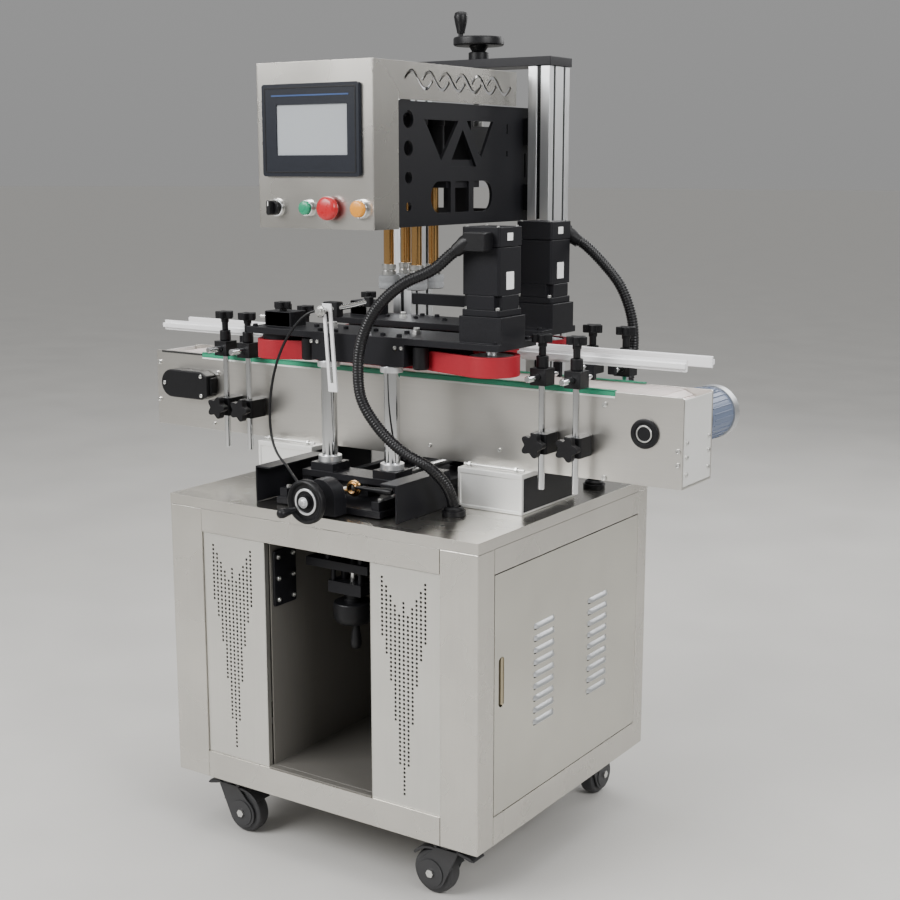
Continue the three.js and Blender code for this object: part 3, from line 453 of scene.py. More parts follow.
rail_white = surface("rail_white", (0.83, 0.83, 0.84), 0.42, 0.15, stretch=ALONG_X, scale=200,
                     spread=0.04, bump=0.05, dirt=0.05)
black_metal = surface("black_anodised", (0.010, 0.010, 0.012), 0.42, 0.1, scale=500, spread=0.3, bump=0.1,
                      wear=(0.05, 0.05, 0.053), Specular_IOR_Level=0.2)
black_paint = surface("black_paint", (0.009, 0.009, 0.011), 0.40, 0.0, scale=700, spread=0.3, bump=0.15,
                      bump_scale=1600, wear=(0.035, 0.035, 0.038), Specular_IOR_Level=0.18)
black_plastic = surface("black_plastic", (0.006, 0.006, 0.007), 0.40, 0.0, scale=400, spread=0.3,
                        bump=0.1, Specular_IOR_Level=0.25)
caster_black = surface("caster_nylon", (0.020, 0.020, 0.022), 0.5, 0.0, scale=150, spread=0.3, bump=0.25,
                       dirt=0.15)
hose_black = surface("conduit_nylon", (0.006, 0.006, 0.007), 0.34, 0.0, scale=300, spread=0.25, bump=0.1,
                     Specular_IOR_Level=0.3)
red_rubber = surface("red_grip_rubber", (0.30, 0.008, 0.018), 0.5, 0.0, scale=200, spread=0.12, bump=0.3,
                     dirt=0.08, Specular_IOR_Level=0.25)
grey_rubber = surface("grey_rubber", (0.33, 0.34, 0.35), 0.6, 0.0, scale=200, spread=0.1, bump=0.25)
chain_plastic = surface("acetal_slat", (0.70, 0.62, 0.59), 0.4, 0.0, scale=160, spread=0.05, bump=0.08,
                        dirt=0.08)
wear_green = surface("green_wear_strip", (0.035, 0.36, 0.20), 0.3, 0.0, stretch=ALONG_X, scale=80,
                     spread=0.1, bump=0.05, Transmission_Weight=0.25)
wear_white = surface("white_wear_strip", (0.80, 0.84, 0.80), 0.4, 0.0, stretch=ALONG_X, scale=80,
                     spread=0.05, bump=0.05)
brass = surface("turned_brass", (0.72, 0.43, 0.17), 0.2, 1.0, stretch=ALONG_Z, scale=30, spread=0.02,
                rough_spread=0.01, bump=0)
motor_blue = surface("motor_enamel", (0.13, 0.165, 0.25), 0.42, 0.2, scale=500, spread=0.15, bump=0.3,
                     dirt=0.1, wear=(0.2, 0.22, 0.26))
light_metal = surface("cast_light_metal", (0.55, 0.56, 0.57), 0.4, 0.9, scale=300, spread=0.1, bump=0.25,
                      dirt=0.1)
green_cap, red_cap, amber_cap = (
    surface(f"{name}_cap", tone, 0.3, 0.0, scale=80, spread=0.08, bump=0.02, Coat_Weight=0.2)
    for name, tone in (("green", (0.008, 0.24, 0.12)), ("red", (0.44, 0.010, 0.016)),
                       ("amber", (0.66, 0.26, 0.02)))
)
bezel_black = surface("bezel_black", (0.012, 0.014, 0.020), 0.36, 0.0, scale=300, spread=0.12,
                      rough_spread=0.03, bump=0.015, Specular_IOR_Level=0.22)
screen_glass = surface("screen_glass", (0.36, 0.38, 0.40), 0.16, 0.0, scale=6, spread=0.03,
                       rough_spread=0.02, bump=0, Coat_Weight=0.6, Coat_Roughness=0.05)
stripe_blue = surface("stripe_blue", (0.015, 0.05, 0.16), 0.35, 0.0, scale=100, spread=0.08, bump=0.02)
label_white = surface("label_white", (0.78, 0.78, 0.77), 0.5, 0.0, scale=60, spread=0.03, bump=0.05)
# near-black for openings and recesses: painted shade
dark_gap = surface("dark_gap", (0.01, 0.01, 0.01), 0.7, 0.0, scale=100, spread=0.2, bump=0.1)

SLOTS = {
    "stainless": "brushed_steel_x brushed_steel_y brushed_steel_z panel_steel door_steel bay_steel "
                 "inner_steel zinc_bolt",
    "conveyor_steel": "conveyor_steel",
    "chrome": "hard_chrome",
    "silver_aluminium": "clear_anodised cast_light_metal",
    "white_aluminium": "blasted_aluminium rail_white label_white",
    "black_aluminium": "black_anodised",
    "black_paint": "black_paint",
    "black_plastic": "black_plastic bezel_black screen_glass stripe_blue dark_gap grey_rubber",
    "caster_plastic": "caster_nylon",
    "conduit": "conduit_nylon",
    "belt_red": "red_grip_rubber",
    "chain_plastic": "acetal_slat green_wear_strip white_wear_strip",
    "brass": "turned_brass pull_brass",
    "motor_blue": "motor_enamel",
    "green_button": "green_cap",
    "red_button": "red_cap",
    "yellow_button": "amber_cap",
}
SLOT_OF = {finish: slot for slot, finishes in SLOTS.items() for finish in finishes.split()}

# ---- camera ----------------------------------------------------------------------------
CAMERA_LENS = 58.66
CAMERA_PLACE = (1615.6, -2296.7, T + 612.3)
CAMERA_DOWN, CAMERA_TURN = 10.928, 33.708
camera_data = bpy.data.cameras.new("camera")
camera_data.lens = CAMERA_LENS
camera_data.sensor_width = 36
camera_data.clip_end = 100
camera = bpy.data.objects.new("camera", camera_data)
camera.location = at(*CAMERA_PLACE)
camera.rotation_euler = (math.radians(90 - CAMERA_DOWN), 0, math.radians(CAMERA_TURN))
bpy.context.scene.collection.objects.link(camera)
bpy.context.scene.camera = camera

# ---- shared sizes ----------------------------------------------------------------------
HALF_X, HALF_Y, CABINET_LOW = 350, 315, 122
RAIL_TOP, PANEL_LOW, PANEL_HIGH, PANEL_FACE = 175, 175.3, 614.4, -311
FRAME_TOP = T - 20.3
PLATE_FRONT, PLATE_BACK, PLATE_THICK = -67.3, 52.4, 4
BELT_LEFT, BELT_RIGHT, BELT_LOW, BELT_HIGH = -619.5, 598.5, T + 75, T + 233
CENTRE_Y = (PLATE_FRONT + PLATE_BACK) / 2
CHAIN_Z, CHAIN_RADIUS, DRIVE_X, IDLER_X = T + 166, 66, 528, -549
SIDES = {"front": -1, "rear": 1}

# ---- cords -----------------------------------------------------------------------------
RIB_STEP, RIB_RADIUS, GROOVE_RADIUS, CONDUIT_ACROSS = 1.25, 10.4, 9.4, 20.4
LEAD_STEP, LEAD_ACROSS = 4, 5
CONDUITS = {
    "front": [(239, -196, 1160), (220, -201, 1146), (192, -214, 1120), (138, -230, 1093),
              (88, -240, 1048), (60, -245, 993), (52, -246, 938), (58, -244, 886), (90, -236, 836),
              (137, -226, 796), (180, -210, 771), (200, -188, 738), (204, -170, 700), (204, -168, 680),
              (204, -168, 640), (206, -166, 590), (214, -160, 540)],
    "rear": [(244, 182, 1160), (266, 188, 1147), (300, 191, 1118), (342, 192, 1072), (366, 192, 1018),
             (373, 191, 965), (366, 189, 900), (351, 186, 830), (331, 181, 765), (313, 176, 720),
             (305, 172, 688), (305, 172, 640), (303, 170, 590), (296, 164, 540)],
}
SENSOR_CABLE = [
    (-62, -208, 1036), (-82, -214, 1031), (-106, -219, 1012), (-136, -225, 970), (-160, -229, 905),
    (-168, -231, 832), (-157, -236, 785), (-138, -244, 765), (-112, -254, 751), (-84, -267, 736),
    (-56, -282, 724), (-31, -294, 720),
]


def lay_cord(name, node, route, step, radius_at, sides):
    """A tube along a route that starts on a clamp and ends on the lift it slides on."""
    points, length = smooth_path(route, step)
    piece = make(name, [tube(points, radius_at, sides)], hose_black, None, bevel=0, replaces=(node,),
                 smooth=60)
    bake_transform(piece)


def rib(i):
    """The conduit's radius: two steps of rib, then two of groove."""
    return RIB_RADIUS if i % 4 < 2 else GROOVE_RADIUS


for place, route in CONDUITS.items():
    lay_cord(f"{place}_conduit", f"conduit_{place}", route, RIB_STEP, rib, 14)
lay_cord("sensor_lead", "sensor_cable", SENSOR_CABLE, LEAD_STEP, lambda i: LEAD_ACROSS / 2,
         10)


# ---- fasteners -------------------------------------------------------------------------
def cap_screw(axis, place, radius, height, out=1):
    """A socket-head screw that stands out of a face."""
    socket = radius * 0.5
    profile = [(0, height * 0.5), (socket, height * 0.5), (socket, height), (radius * 0.86, height),
               (radius, height * 0.86), (radius, -0.4), (0, -0.4)]
    return lathe(facing(profile, out), axis, place, 20)


# for each axis: the two coordinates across it and the one along it
SECTION_AXES = {"x": (1, 2, 0), "y": (0, 2, 1), "z": (0, 1, 2)}


def hex_nut(axis, place, radius, height, out=1):
    ends = sorted((0, height * out))
    u, v, along = SECTION_AXES[axis]
    outline = circle(place[u], place[v], radius, 6)
    return prism(outline, axis, place[along] + ends[0], place[along] + ends[1])


STAR_LOBES, STAR_STEPS, STAR_DEPTH = 5, 60, 0.18


def star_knob(axis, place, radius, height, out=1):
    """A five-lobed knob on its hub."""
    u, v, along = SECTION_AXES[axis]
    outline = []
    for i in range(STAR_STEPS):
        angle = 2 * math.pi * i / STAR_STEPS
        reach = radius * (1 - STAR_DEPTH + STAR_DEPTH * math.cos(STAR_LOBES * angle))
        outline.append((place[u] + reach * math.cos(angle), place[v] + reach * math.sin(angle)))
    ends = sorted((height * 0.35 * out, height * out))
    star = prism(outline, axis, place[along] + ends[0], place[along] + ends[1])
    hub = lathe([(0, 0), (radius * 0.42, 0), (radius * 0.42, height * 0.5 * out),
                 (0, height * 0.5 * out)], axis, place, 24)
    return [star, hub]


# ---- cabinet ---------------------------------------------------------------------------
SEAM = 0.5
RAIL_THICK, TOP_RAIL_LOW = 6, T - 65
POST_IN = 272
FRONT_POST_BACK, REAR_POST_FRONT = -263, 277
posts = []
for x0, x1 in ((-HALF_X, -POST_IN), (POST_IN, HALF_X)):
    for y0, y1 in ((-HALF_Y, FRONT_POST_BACK), (REAR_POST_FRONT, HALF_Y)):
        posts.append(block(x0, x1, y0, y1, CABINET_LOW, FRAME_TOP))
make("cabinet_posts", posts, steel_z, "cabinet", bevel=1.6, segments=3, replaces=("cabinet_frame",))

long_rails, side_rails = [], []
for z0, z1 in ((CABINET_LOW, RAIL_TOP), (TOP_RAIL_LOW, FRAME_TOP)):
    for y0, y1 in ((-HALF_Y, RAIL_THICK - HALF_Y), (HALF_Y - RAIL_THICK, HALF_Y)):
        long_rails.append(block(SEAM - POST_IN, POST_IN - SEAM, y0, y1, z0, z1))
    for x0, x1 in ((-HALF_X, RAIL_THICK - HALF_X), (HALF_X - RAIL_THICK, HALF_X)):
        side_rails.append(block(x0, x1, FRONT_POST_BACK + SEAM, REAR_POST_FRONT - SEAM, z0, z1))
make("cabinet_long_rails", long_rails, steel_x, "cabinet", bevel=1.0)
make("cabinet_side_rails", side_rails, steel_y, "cabinet", bevel=1.0)
make("cabinet_left_sheet", [block(-HALF_X, 3 - HALF_X, FRONT_POST_BACK + SEAM, REAR_POST_FRONT - SEAM,
                                  RAIL_TOP + SEAM, TOP_RAIL_LOW - SEAM)], panel_steel, "cabinet",
     bevel=0.8)
# the cabinet's floor takes the darkened inner steel: painted shade inside the cabinet
make("cabinet_floor", [block(-343, 343, -308, 308, CABINET_LOW, CABINET_LOW + 4)], dark_steel, "cabinet",
     bevel=0.5)
refine("table_top", steel_x, 1.4, 3)
# the bay's liner and the thin sill at its floor take that darkened steel: painted shade in the bay and a
# painted shadow line along its floor
refine("bay_liner", bay_steel, 0.6)
make("bay_sill", [block(-119.5, 121.5, -313, -298.5, RAIL_TOP + 0.3, RAIL_TOP + 3)], bay_steel, "cabinet",
     bevel=0.4)
refine("rear_panel", panel_steel, 0.8)

HOLE_TOP = (0, 2, 4, 6, 8, 5, 8, 6, 4, 2, 0)
HOLE_LOW = (13, 17, 23, 32, 42, 49, 42, 32, 23, 17, 13)
HOLE_PITCH_X, HOLE_PITCH_Z, HOLE_RADIUS, HOLE_HIGH = 9.2, 8.0, 2.6, T - 89
PANEL_SHEET, FOLD_DEEP = 1.5, 10


def perforated_panel(name, node, x0, x1, middle):
    """A front panel with its V-shaped field of round holes, cut cell by cell."""
    back = PANEL_FACE + PANEL_SHEET
    columns = len(HOLE_TOP)
    rows = max(HOLE_LOW) + 1
    left = middle - HOLE_PITCH_X * columns / 2
    top = HOLE_HIGH + HOLE_PITCH_Z / 2
    low = top - HOLE_PITCH_Z * rows
    right = left + HOLE_PITCH_X * columns
    verts, faces = [], []

    def add(points):
        start = len(verts)
        verts.extend(points)
        return list(range(start, len(verts)))

    def flat(u0, u1, v0, v1):
        faces.append(tuple(add([(u, PANEL_FACE, v) for u, v in rectangle(u0, u1, v0, v1)])))

    flat(x0, left, PANEL_LOW, PANEL_HIGH)
    flat(right, x1, PANEL_LOW, PANEL_HIGH)
    flat(left, right, PANEL_LOW, low)
    flat(left, right, top, PANEL_HIGH)
    for column in range(columns):
        u = left + HOLE_PITCH_X * (column + 0.5)
        for row in range(rows):
            v = top - HOLE_PITCH_Z * (row + 0.5)
            a, b = HOLE_PITCH_X / 2, HOLE_PITCH_Z / 2
            rim = [(a, 0), (a, b), (0, b), (-a, b), (-a, 0), (-a, -b), (0, -b), (a, -b)]
            outer = add([(u + p, PANEL_FACE, v + q) for p, q in rim])
            if not HOLE_TOP[column] <= row <= HOLE_LOW[column]:
                faces.append(tuple(outer))
                continue
            spots = circle(u, v, HOLE_RADIUS, 8)
            inner = add([(p, PANEL_FACE, q) for p, q in spots])
            deep = add([(p, back, q) for p, q in spots])
            for i in range(8):
                j = (i + 1) % 8
                faces.append((outer[i], outer[j], inner[j], inner[i]))
                faces.append((inner[i], inner[j], deep[j], deep[i]))
    make(name, [(verts, faces)], panel_steel, "cabinet", bevel=0, replaces=(node,), smooth=30)
    sides = [(x0, x1, PANEL_LOW, PANEL_LOW + PANEL_SHEET), (x0, x1, PANEL_HIGH - PANEL_SHEET, PANEL_HIGH),
             (x0, x0 + PANEL_SHEET, PANEL_LOW, PANEL_HIGH), (x1 - PANEL_SHEET, x1, PANEL_LOW, PANEL_HIGH)]
    fold = [block(u0, u1, PANEL_FACE, PANEL_FACE + FOLD_DEEP, v0, v1) for u0, u1, v0, v1 in sides]
    make(name + "_fold", fold, panel_steel, "cabinet", bevel=0.5)


perforated_panel("left_panel", "front_panel_left", -271.7, -120.3, -201)
perforated_panel("right_panel", "front_panel_right", 122.3, 271.7, 194)

# the black plate on the bay's left wall and its screws
make("bay_plate", [prism(rounded(-294, -232, T - 192, T - 86, 4), "x", -116.4, -111)], black_metal,
     "cabinet", bevel=0.8)
make("bay_plate_screws", [cap_screw("x", (-111, y, z), 4.5, 4) for y in (-284, -242)
                          for z in (T - 180, T - 139, T - 98)],
     bolt_steel, "cabinet", bevel=0)

# ---- door ------------------------------------------------------------------------------
DOOR_FACE = 349.5
PULL = (-247, -229, 372, 462)
door_outline = rectangle(-261, 276, PANEL_LOW + 1, PANEL_HIGH - 1)
make("door_skin", [prism(door_outline, "x", DOOR_FACE - 12, DOOR_FACE, [rounded(*PULL, 8)])], door_steel,
     "door", bevel=1.0, replaces=("door_right",))
# the near-black floor of the pull's pocket is painted shade in the recess
make("door_pull_pocket_shade", [prism(rounded(-248, -228, 371, 463, 8), "x", DOOR_FACE - 11.5, DOOR_FACE - 8)],
     dark_gap, "door", bevel=0)
make("door_pull_lip", [prism(rounded(-238, -229.5, 374, 460, 3), "x", DOOR_FACE - 8, DOOR_FACE - 1.5)],
     pull_brass, "door", bevel=0.6)


def louvre(y0, y1, z, height=8.5, proud=5.5):
    """A pressed hood, closed at its top and ends and open below."""
    across, down = 18, 7
    verts, faces = [], []
    for i in range(across + 1):
        u = -1 + 2 * i / across
        for j in range(down + 1):
            fall = j / down
            x = DOOR_FACE + proud * math.sin(fall * math.pi / 2) * (1 - abs(u) ** 6) ** 0.5
            verts.append((x, (y0 + y1) / 2 + u * (y1 - y0) / 2, z + height / 2 - height * fall))
    for i in range(across):
        for j in range(down):
            a = i * (down + 1) + j
            faces.append((a, a + 1, a + down + 2, a + down + 1))
    return verts, faces


LOUVRE_PITCH, LOUVRE_ROWS = 22.5, 9
# under each hood a thin near-black strip on the door face is painted shade in the louvre's mouth
hoods, mouths = [], []
for y0, y1, top in ((-129, -57, T - 192), (72, 148, T - 195)):
    for row in range(LOUVRE_ROWS):
        z = top - LOUVRE_PITCH * row
        hoods.append(louvre(y0, y1, z))
        mouths.append(block(DOOR_FACE + 0.1, DOOR_FACE + 0.6, y0 + 2, y1 - 2, z - 7.2, z - 2.5))
make("door_louvres", hoods, light_metal, "door", bevel=0, smooth=80)
make("door_louvre_mouth_shade", mouths, dark_gap, "door", bevel=0)

# ---- casters ---------------------------------------------------------------------------
CASTER_TRAIL, WHEEL_RADIUS, WHEEL_HALF = 32, 42.5, 15
CHEEK_IN, CHEEK_OUT, HOOD_OUT, HOOD_IN = 17, 21, 50, 45
CASTERS = {  # where each one's pivot stands, and the way its trail is turned from +X
    "front_left": (-258, -255, 0), "front_right": (258, -255, 180),
    "rear_left": (-258, 255, 90), "rear_right": (258, 255, 90),
}


def build_caster(place, x, y, degrees):
    """A hooded swivel caster, drawn with its trail along +X and then turned into place."""
    def put(shapes):
        return [turned(moved(shape, x, y), "z", degrees, (x, y, 0)) for shape in shapes]

    wheel = (CASTER_TRAIL, 0, WHEEL_RADIUS)
    cheeks = []
    for side in (-1, 1):
        low, high = sorted((side * CHEEK_IN, side * CHEEK_OUT))
        outline = arc(wheel[0], wheel[2], 31, -150, 62, 22) + [(18, 99), (-24, 99), (-24, 90)]
        cheeks.append(prism(outline, "y", low, high))
        cheeks.append(lathe([(0, 0), (25, 0), (26, 1.2 * side), (26, 2 * side), (0, 2 * side)], "y",
                            (wheel[0], side * CHEEK_OUT, wheel[2]), 36))
    hood = (arc(wheel[0], wheel[2], HOOD_OUT, 38, 158, 22)
            + arc(wheel[0], wheel[2], HOOD_IN, 158, 38, 22))
    cheeks.append(prism(hood, "y", -20, 20))
    cheeks.append(block(-26, 26, -21, 21, 94, 101))
    cheeks.append(lathe([(0, 99), (26, 99), (30, 103), (30, 108), (0, 108)], "z", (0, 0, 0), 36))
    make(f"caster_{place}_hood", put(cheeks), caster_black, f"caster_{place}", bevel=0.9,
         replaces=(f"caster_fork_{place}",))
    metal = [rod("z", (0, 0, 108), 4, 29), prism(rounded(-32, 32, -32, 32, 6), "z", 112, 121.6)]
    for side in (-1, 1):
        metal.append(hex_nut("y", (wheel[0], side * 23, wheel[2]), 8, 4, side))
        metal += [hex_nut("z", (u, side * 24, 112), 6, 5, -1) for u in (-24, 24)]
    make(f"caster_{place}_bolts", put(metal), bolt_steel, f"caster_{place}", bevel=0.5)
    if place.startswith("front"):
        pedal = [(-58, 84), (-52, 91), (-20, 98), (-20, 92), (-50, 84)]
        make(f"caster_{place}_pedal", put([prism(pedal, "y", -19, 19)]), caster_black, f"caster_{place}",
             bevel=1.2)
    tread = [(6, -WHEEL_HALF), (36, -WHEEL_HALF), (40.5, -12), (WHEEL_RADIUS, -5), (WHEEL_RADIUS, 5),
             (40.5, 12), (36, WHEEL_HALF), (6, WHEEL_HALF)]
    make(f"caster_{place}_tread", put([lathe(tread, "y", wheel, 56)]), caster_black, f"wheel_{place}",
         bevel=0.4, replaces=(f"caster_wheel_{place}",))


for place, spot in CASTERS.items():
    build_caster(place, *spot)

# ---- conveyor --------------------------------------------------------------------------
plate_outline = [(BELT_LEFT, BELT_LOW), (BELT_RIGHT, BELT_LOW), (BELT_RIGHT, BELT_HIGH - 3),
                 (BELT_RIGHT - 3, BELT_HIGH), (BELT_LEFT + 3, BELT_HIGH), (BELT_LEFT, BELT_HIGH - 3)]
plates = [prism(plate_outline, "y", PLATE_FRONT, PLATE_FRONT + PLATE_THICK),
          prism(plate_outline, "y", PLATE_BACK - PLATE_THICK, PLATE_BACK)]
make("conveyor_plates", plates, belt_side, "cabinet", bevel=0.7, replaces=("conveyor_frame",))
make("conveyor_tray", [block(BELT_LEFT, BELT_RIGHT, PLATE_FRONT + PLATE_THICK, PLATE_BACK - PLATE_THICK,
                             BELT_LOW, BELT_LOW + 4)],
     belt_side, "cabinet", bevel=0.6)
ends = [block(x0, x1, PLATE_FRONT + 4.5, PLATE_BACK - 4.5, BELT_LOW + 4.5, BELT_HIGH - 4)
        for x0, x1 in ((BELT_LEFT, BELT_LEFT + 3), (BELT_RIGHT - 3, BELT_RIGHT))]
make("conveyor_ends", ends, white_metal, "cabinet", bevel=0.8)

plate_screws = [(-610, 206, 5), (-447, 195, 5), (-614, 126, 5), (450, 209, 5), (451, 80, 5),
                (590, 117, 4.5), (590, 141, 4.5), (-460, 88, 3.5), (83, 99, 3.5), (237, 106, 3.5)]
heads = []
for x, z, radius in plate_screws:
    heads.append(cap_screw("y", (x, PLATE_FRONT, T + z), radius, 3.5, -1))
    heads.append(cap_screw("y", (x, PLATE_BACK, T + z), radius, 3.5, 1))
for z in (T + 100, T + 130, T + 155):
    for x, out in ((BELT_RIGHT, 1), (BELT_LEFT, -1)):
        heads += [cap_screw("x", (x, y, z), 4, 3, out) for y in (-52, 37)]
make("conveyor_screws", heads, bolt_steel, "cabinet", bevel=0)

caps = []
for x, radius in ((DRIVE_X, 26), (IDLER_X, 20)):
    profile = [(0, 0), (radius, 0), (radius, -4), (radius - 2, -5.2), (radius * 0.72, -5.2),
               (radius * 0.68, -3.6), (radius * 0.5, -3.6), (radius * 0.46, -5.2), (0, -5.2)]
    caps.append(lathe(profile, "y", (x, PLATE_FRONT, CHAIN_Z), 48))
make("bearing_caps", caps, black_plastic, "cabinet", bevel=0.3)
make("bearing_rings", [ring("y", (DRIVE_X, PLATE_FRONT - 5.6, CHAIN_Z), 2.2, 15, 12.6)], bolt_steel,
     "cabinet", bevel=0.2)

bullet = arc(-552, T + 169, 29, 90, 270, 20)
bullet += [(-470, T + 140), (-452, T + 148), (-452, T + 190), (-470, T + 198)]
make("sensor_cover", [prism(bullet, "y", PLATE_FRONT - 29, PLATE_FRONT - 0.3),
                      block(-456, -448, PLATE_FRONT - 20, PLATE_FRONT - 0.3, T + 152, T + 186)],
     black_plastic, "cabinet", bevel=3, segments=4)
make("sensor_cover_screws", [cap_screw("y", (x, PLATE_FRONT - 29, z), 4, 2.4, -1)
                             for x, z in ((-570, T + 169), (-468, T + 189), (-468, T + 149))], bolt_steel,
     "cabinet", bevel=0)
STRIP_LEFT, STRIP_RIGHT = -487, 469
strips_green, strips_white, slots = [], [], []
for plate, out in ((PLATE_FRONT, -1), (PLATE_BACK, 1)):
    y0, y1 = sorted((plate + out * 0.2, plate + out * 2.4))
    strips_green.append(block(STRIP_LEFT, STRIP_RIGHT, y0, y1, T + 225.5, T + 235))
    y2, y3 = sorted((plate + out * 2.4, plate - out * 7))
    strips_green.append(block(STRIP_LEFT, STRIP_RIGHT, y2, y3, T + 233.2, T + 235.4))
    strips_white.append(block(STRIP_LEFT, STRIP_RIGHT, y0, y1, T + 222, T + 225.3))
    slots.append(block(BELT_LEFT + 17.5, STRIP_LEFT, y0, y1, T + 228.5, T + 232))
make("wear_strips", strips_green, wear_green, "cabinet", bevel=0.4)
make("wear_strip_lips", strips_white, wear_white, "cabinet", bevel=0.3)
# the near-black strips on the side plates, from near the plates' left ends to the wear strips, are painted
# shade in a slot there
make("end_slot_shade", slots, dark_gap, "cabinet", bevel=0)

# the slat chain runs round both rollers
STRAIGHT = DRIVE_X - IDLER_X
MID_RADIUS = CHAIN_RADIUS - 3
LOOP = 2 * STRAIGHT + 2 * math.pi * MID_RADIUS
SLATS = 134


def on_loop(distance):
    """A place on the chain's centre line: x, z and the turn of a slat lying there."""
    bend = math.pi * MID_RADIUS
    distance %= LOOP
    if distance < STRAIGHT:
        return IDLER_X + distance, CHAIN_Z + MID_RADIUS, 0.0
    distance -= STRAIGHT
    if distance < bend:
        angle = distance / MID_RADIUS
        return DRIVE_X + MID_RADIUS * math.sin(angle), CHAIN_Z + MID_RADIUS * math.cos(angle), angle
    distance -= bend
    if distance < STRAIGHT:
        return DRIVE_X - distance, CHAIN_Z - MID_RADIUS, math.pi
    angle = math.pi + (distance - STRAIGHT) / MID_RADIUS
    return IDLER_X + MID_RADIUS * math.sin(angle), CHAIN_Z + MID_RADIUS * math.cos(angle), angle


slats, hinges = [], []
SLAT_Y = (PLATE_FRONT + PLATE_THICK + 1.2, PLATE_BACK - PLATE_THICK - 1.2)
for i in range(SLATS):
    x, z, angle = on_loop(LOOP * i / SLATS)
    slat = block(x - 9.1, x + 9.1, *SLAT_Y, z - 2.4, z + 2.4)
    slats.append(turned(slat, "y", math.degrees(angle), (x, 0, z)))
    x, z, angle = on_loop(LOOP * (i + 0.5) / SLATS)
    hinge = rod("y", (x, SLAT_Y[0] + 18, z - 1.4), SLAT_Y[1] - SLAT_Y[0] - 36, 2.6, steps=12)
    hinges.append(turned(hinge, "y", math.degrees(angle), (x, 0, z)))
make("chain_slats", slats, chain_plastic, "cabinet", bevel=0.7, replaces=("conveyor_chain",))
make("chain_hinges", hinges, chain_plastic, "cabinet", bevel=0)
refine("drive_roller", black_plastic, 0.8)
refine("idler_roller", black_plastic, 0.8)

# motor: gearbox, finned body, fan cover
MOTOR_Y = PLATE_BACK
MOTOR_PLACE, FINS = (DRIVE_X, MOTOR_Y, CHAIN_Z), 28
motor = [prism(rounded(DRIVE_X - 42, DRIVE_X + 42, CHAIN_Z - 42, CHAIN_Z + 42, 9), "y", MOTOR_Y + 1,
               MOTOR_Y + 42),
         lathe([(0, 60), (46.5, 60), (46.5, 150), (0, 150)], "y", MOTOR_PLACE, 56)]
for i in range(FINS):
    angle = 2 * math.pi * i / FINS
    fin = block(DRIVE_X - 1, DRIVE_X + 1, MOTOR_Y + 66, MOTOR_Y + 146, CHAIN_Z + 44, CHAIN_Z + 48.4)
    motor.append(turned(fin, "y", math.degrees(angle), (DRIVE_X, 0, CHAIN_Z)))
motor.append(prism(rounded(DRIVE_X - 20, DRIVE_X + 20, CHAIN_Z + 40, CHAIN_Z + 49, 3), "y", MOTOR_Y + 72,
                   MOTOR_Y + 126))
make("motor_body", motor, motor_blue, "cabinet", bevel=0.8, replaces=("conveyor_motor",))
make("motor_flange", [lathe([(0, 41), (44, 41), (44, 60), (0, 60)], "y", MOTOR_PLACE, 48)], black_metal,
     "cabinet", bevel=1)
fan = [(0, 176), (34, 176), (34, 179), (43, 179), (49, 173), (50, 168), (50, 150), (0, 150)]
make("motor_fan_cover", [lathe(fan, "y", MOTOR_PLACE, 56)], light_metal, "cabinet", bevel=0.5)
make("motor_bracket", [block(DRIVE_X - 14, DRIVE_X + 14, MOTOR_Y + 10, MOTOR_Y + 34, BELT_LOW + 6,
                             CHAIN_Z - 42)], black_metal, "cabinet", bevel=1)
make("motor_bolts", [cap_screw("y", (DRIVE_X + u, MOTOR_Y + 42, CHAIN_Z + v), 4.5, 5)
                     for u, v in four(34)], bolt_steel, "cabinet", bevel=0)

# feet, their clamping rods, and a thin black sheet on each foot's +X end that is painted shade
FOOT_ROD_Y = (-90, 76)
for name, sign in (("left", -1), ("right", 1)):
    refine(f"conveyor_foot_{name}", white_metal, 1.2)
    x0, x1 = sorted((sign * 171, sign * 308))
    z = T + 79
    make(f"foot_rod_{name}", [rod("x", (x0 + 4, y, z), x1 - x0 - 8, 2.6) for y in FOOT_ROD_Y], bolt_steel,
         "cabinet", bevel=0)
    nuts = [hex_nut("x", (x, y, z), 5.2, 5, 1) for y in FOOT_ROD_Y for x in (x0 + 14, x1 - 24)]
    make(f"foot_nuts_{name}", nuts, bolt_steel, "cabinet", bevel=0.4)
    make(f"foot_shade_{name}", [block(x1 - 0.2, x1 + 1.6, -100, 86, T + 5, T + 66)], black_metal,
         "cabinet", bevel=0.5)

# ---- guide rails -----------------------------------------------------------------------
RAILS = {
    "front_left": (-615, -270, -1, (-394, -334)), "front_right": (262, 590, -1, (343, 411)),
    "rear_left": (-615, -270, 1, (-394, -334)), "rear_right": (234, 605, 1, (343, 411)),
}
RAIL_LOW, RAIL_HIGH, ROD_Z = T + 273, T + 294, T + 254
POST_REACH = 32


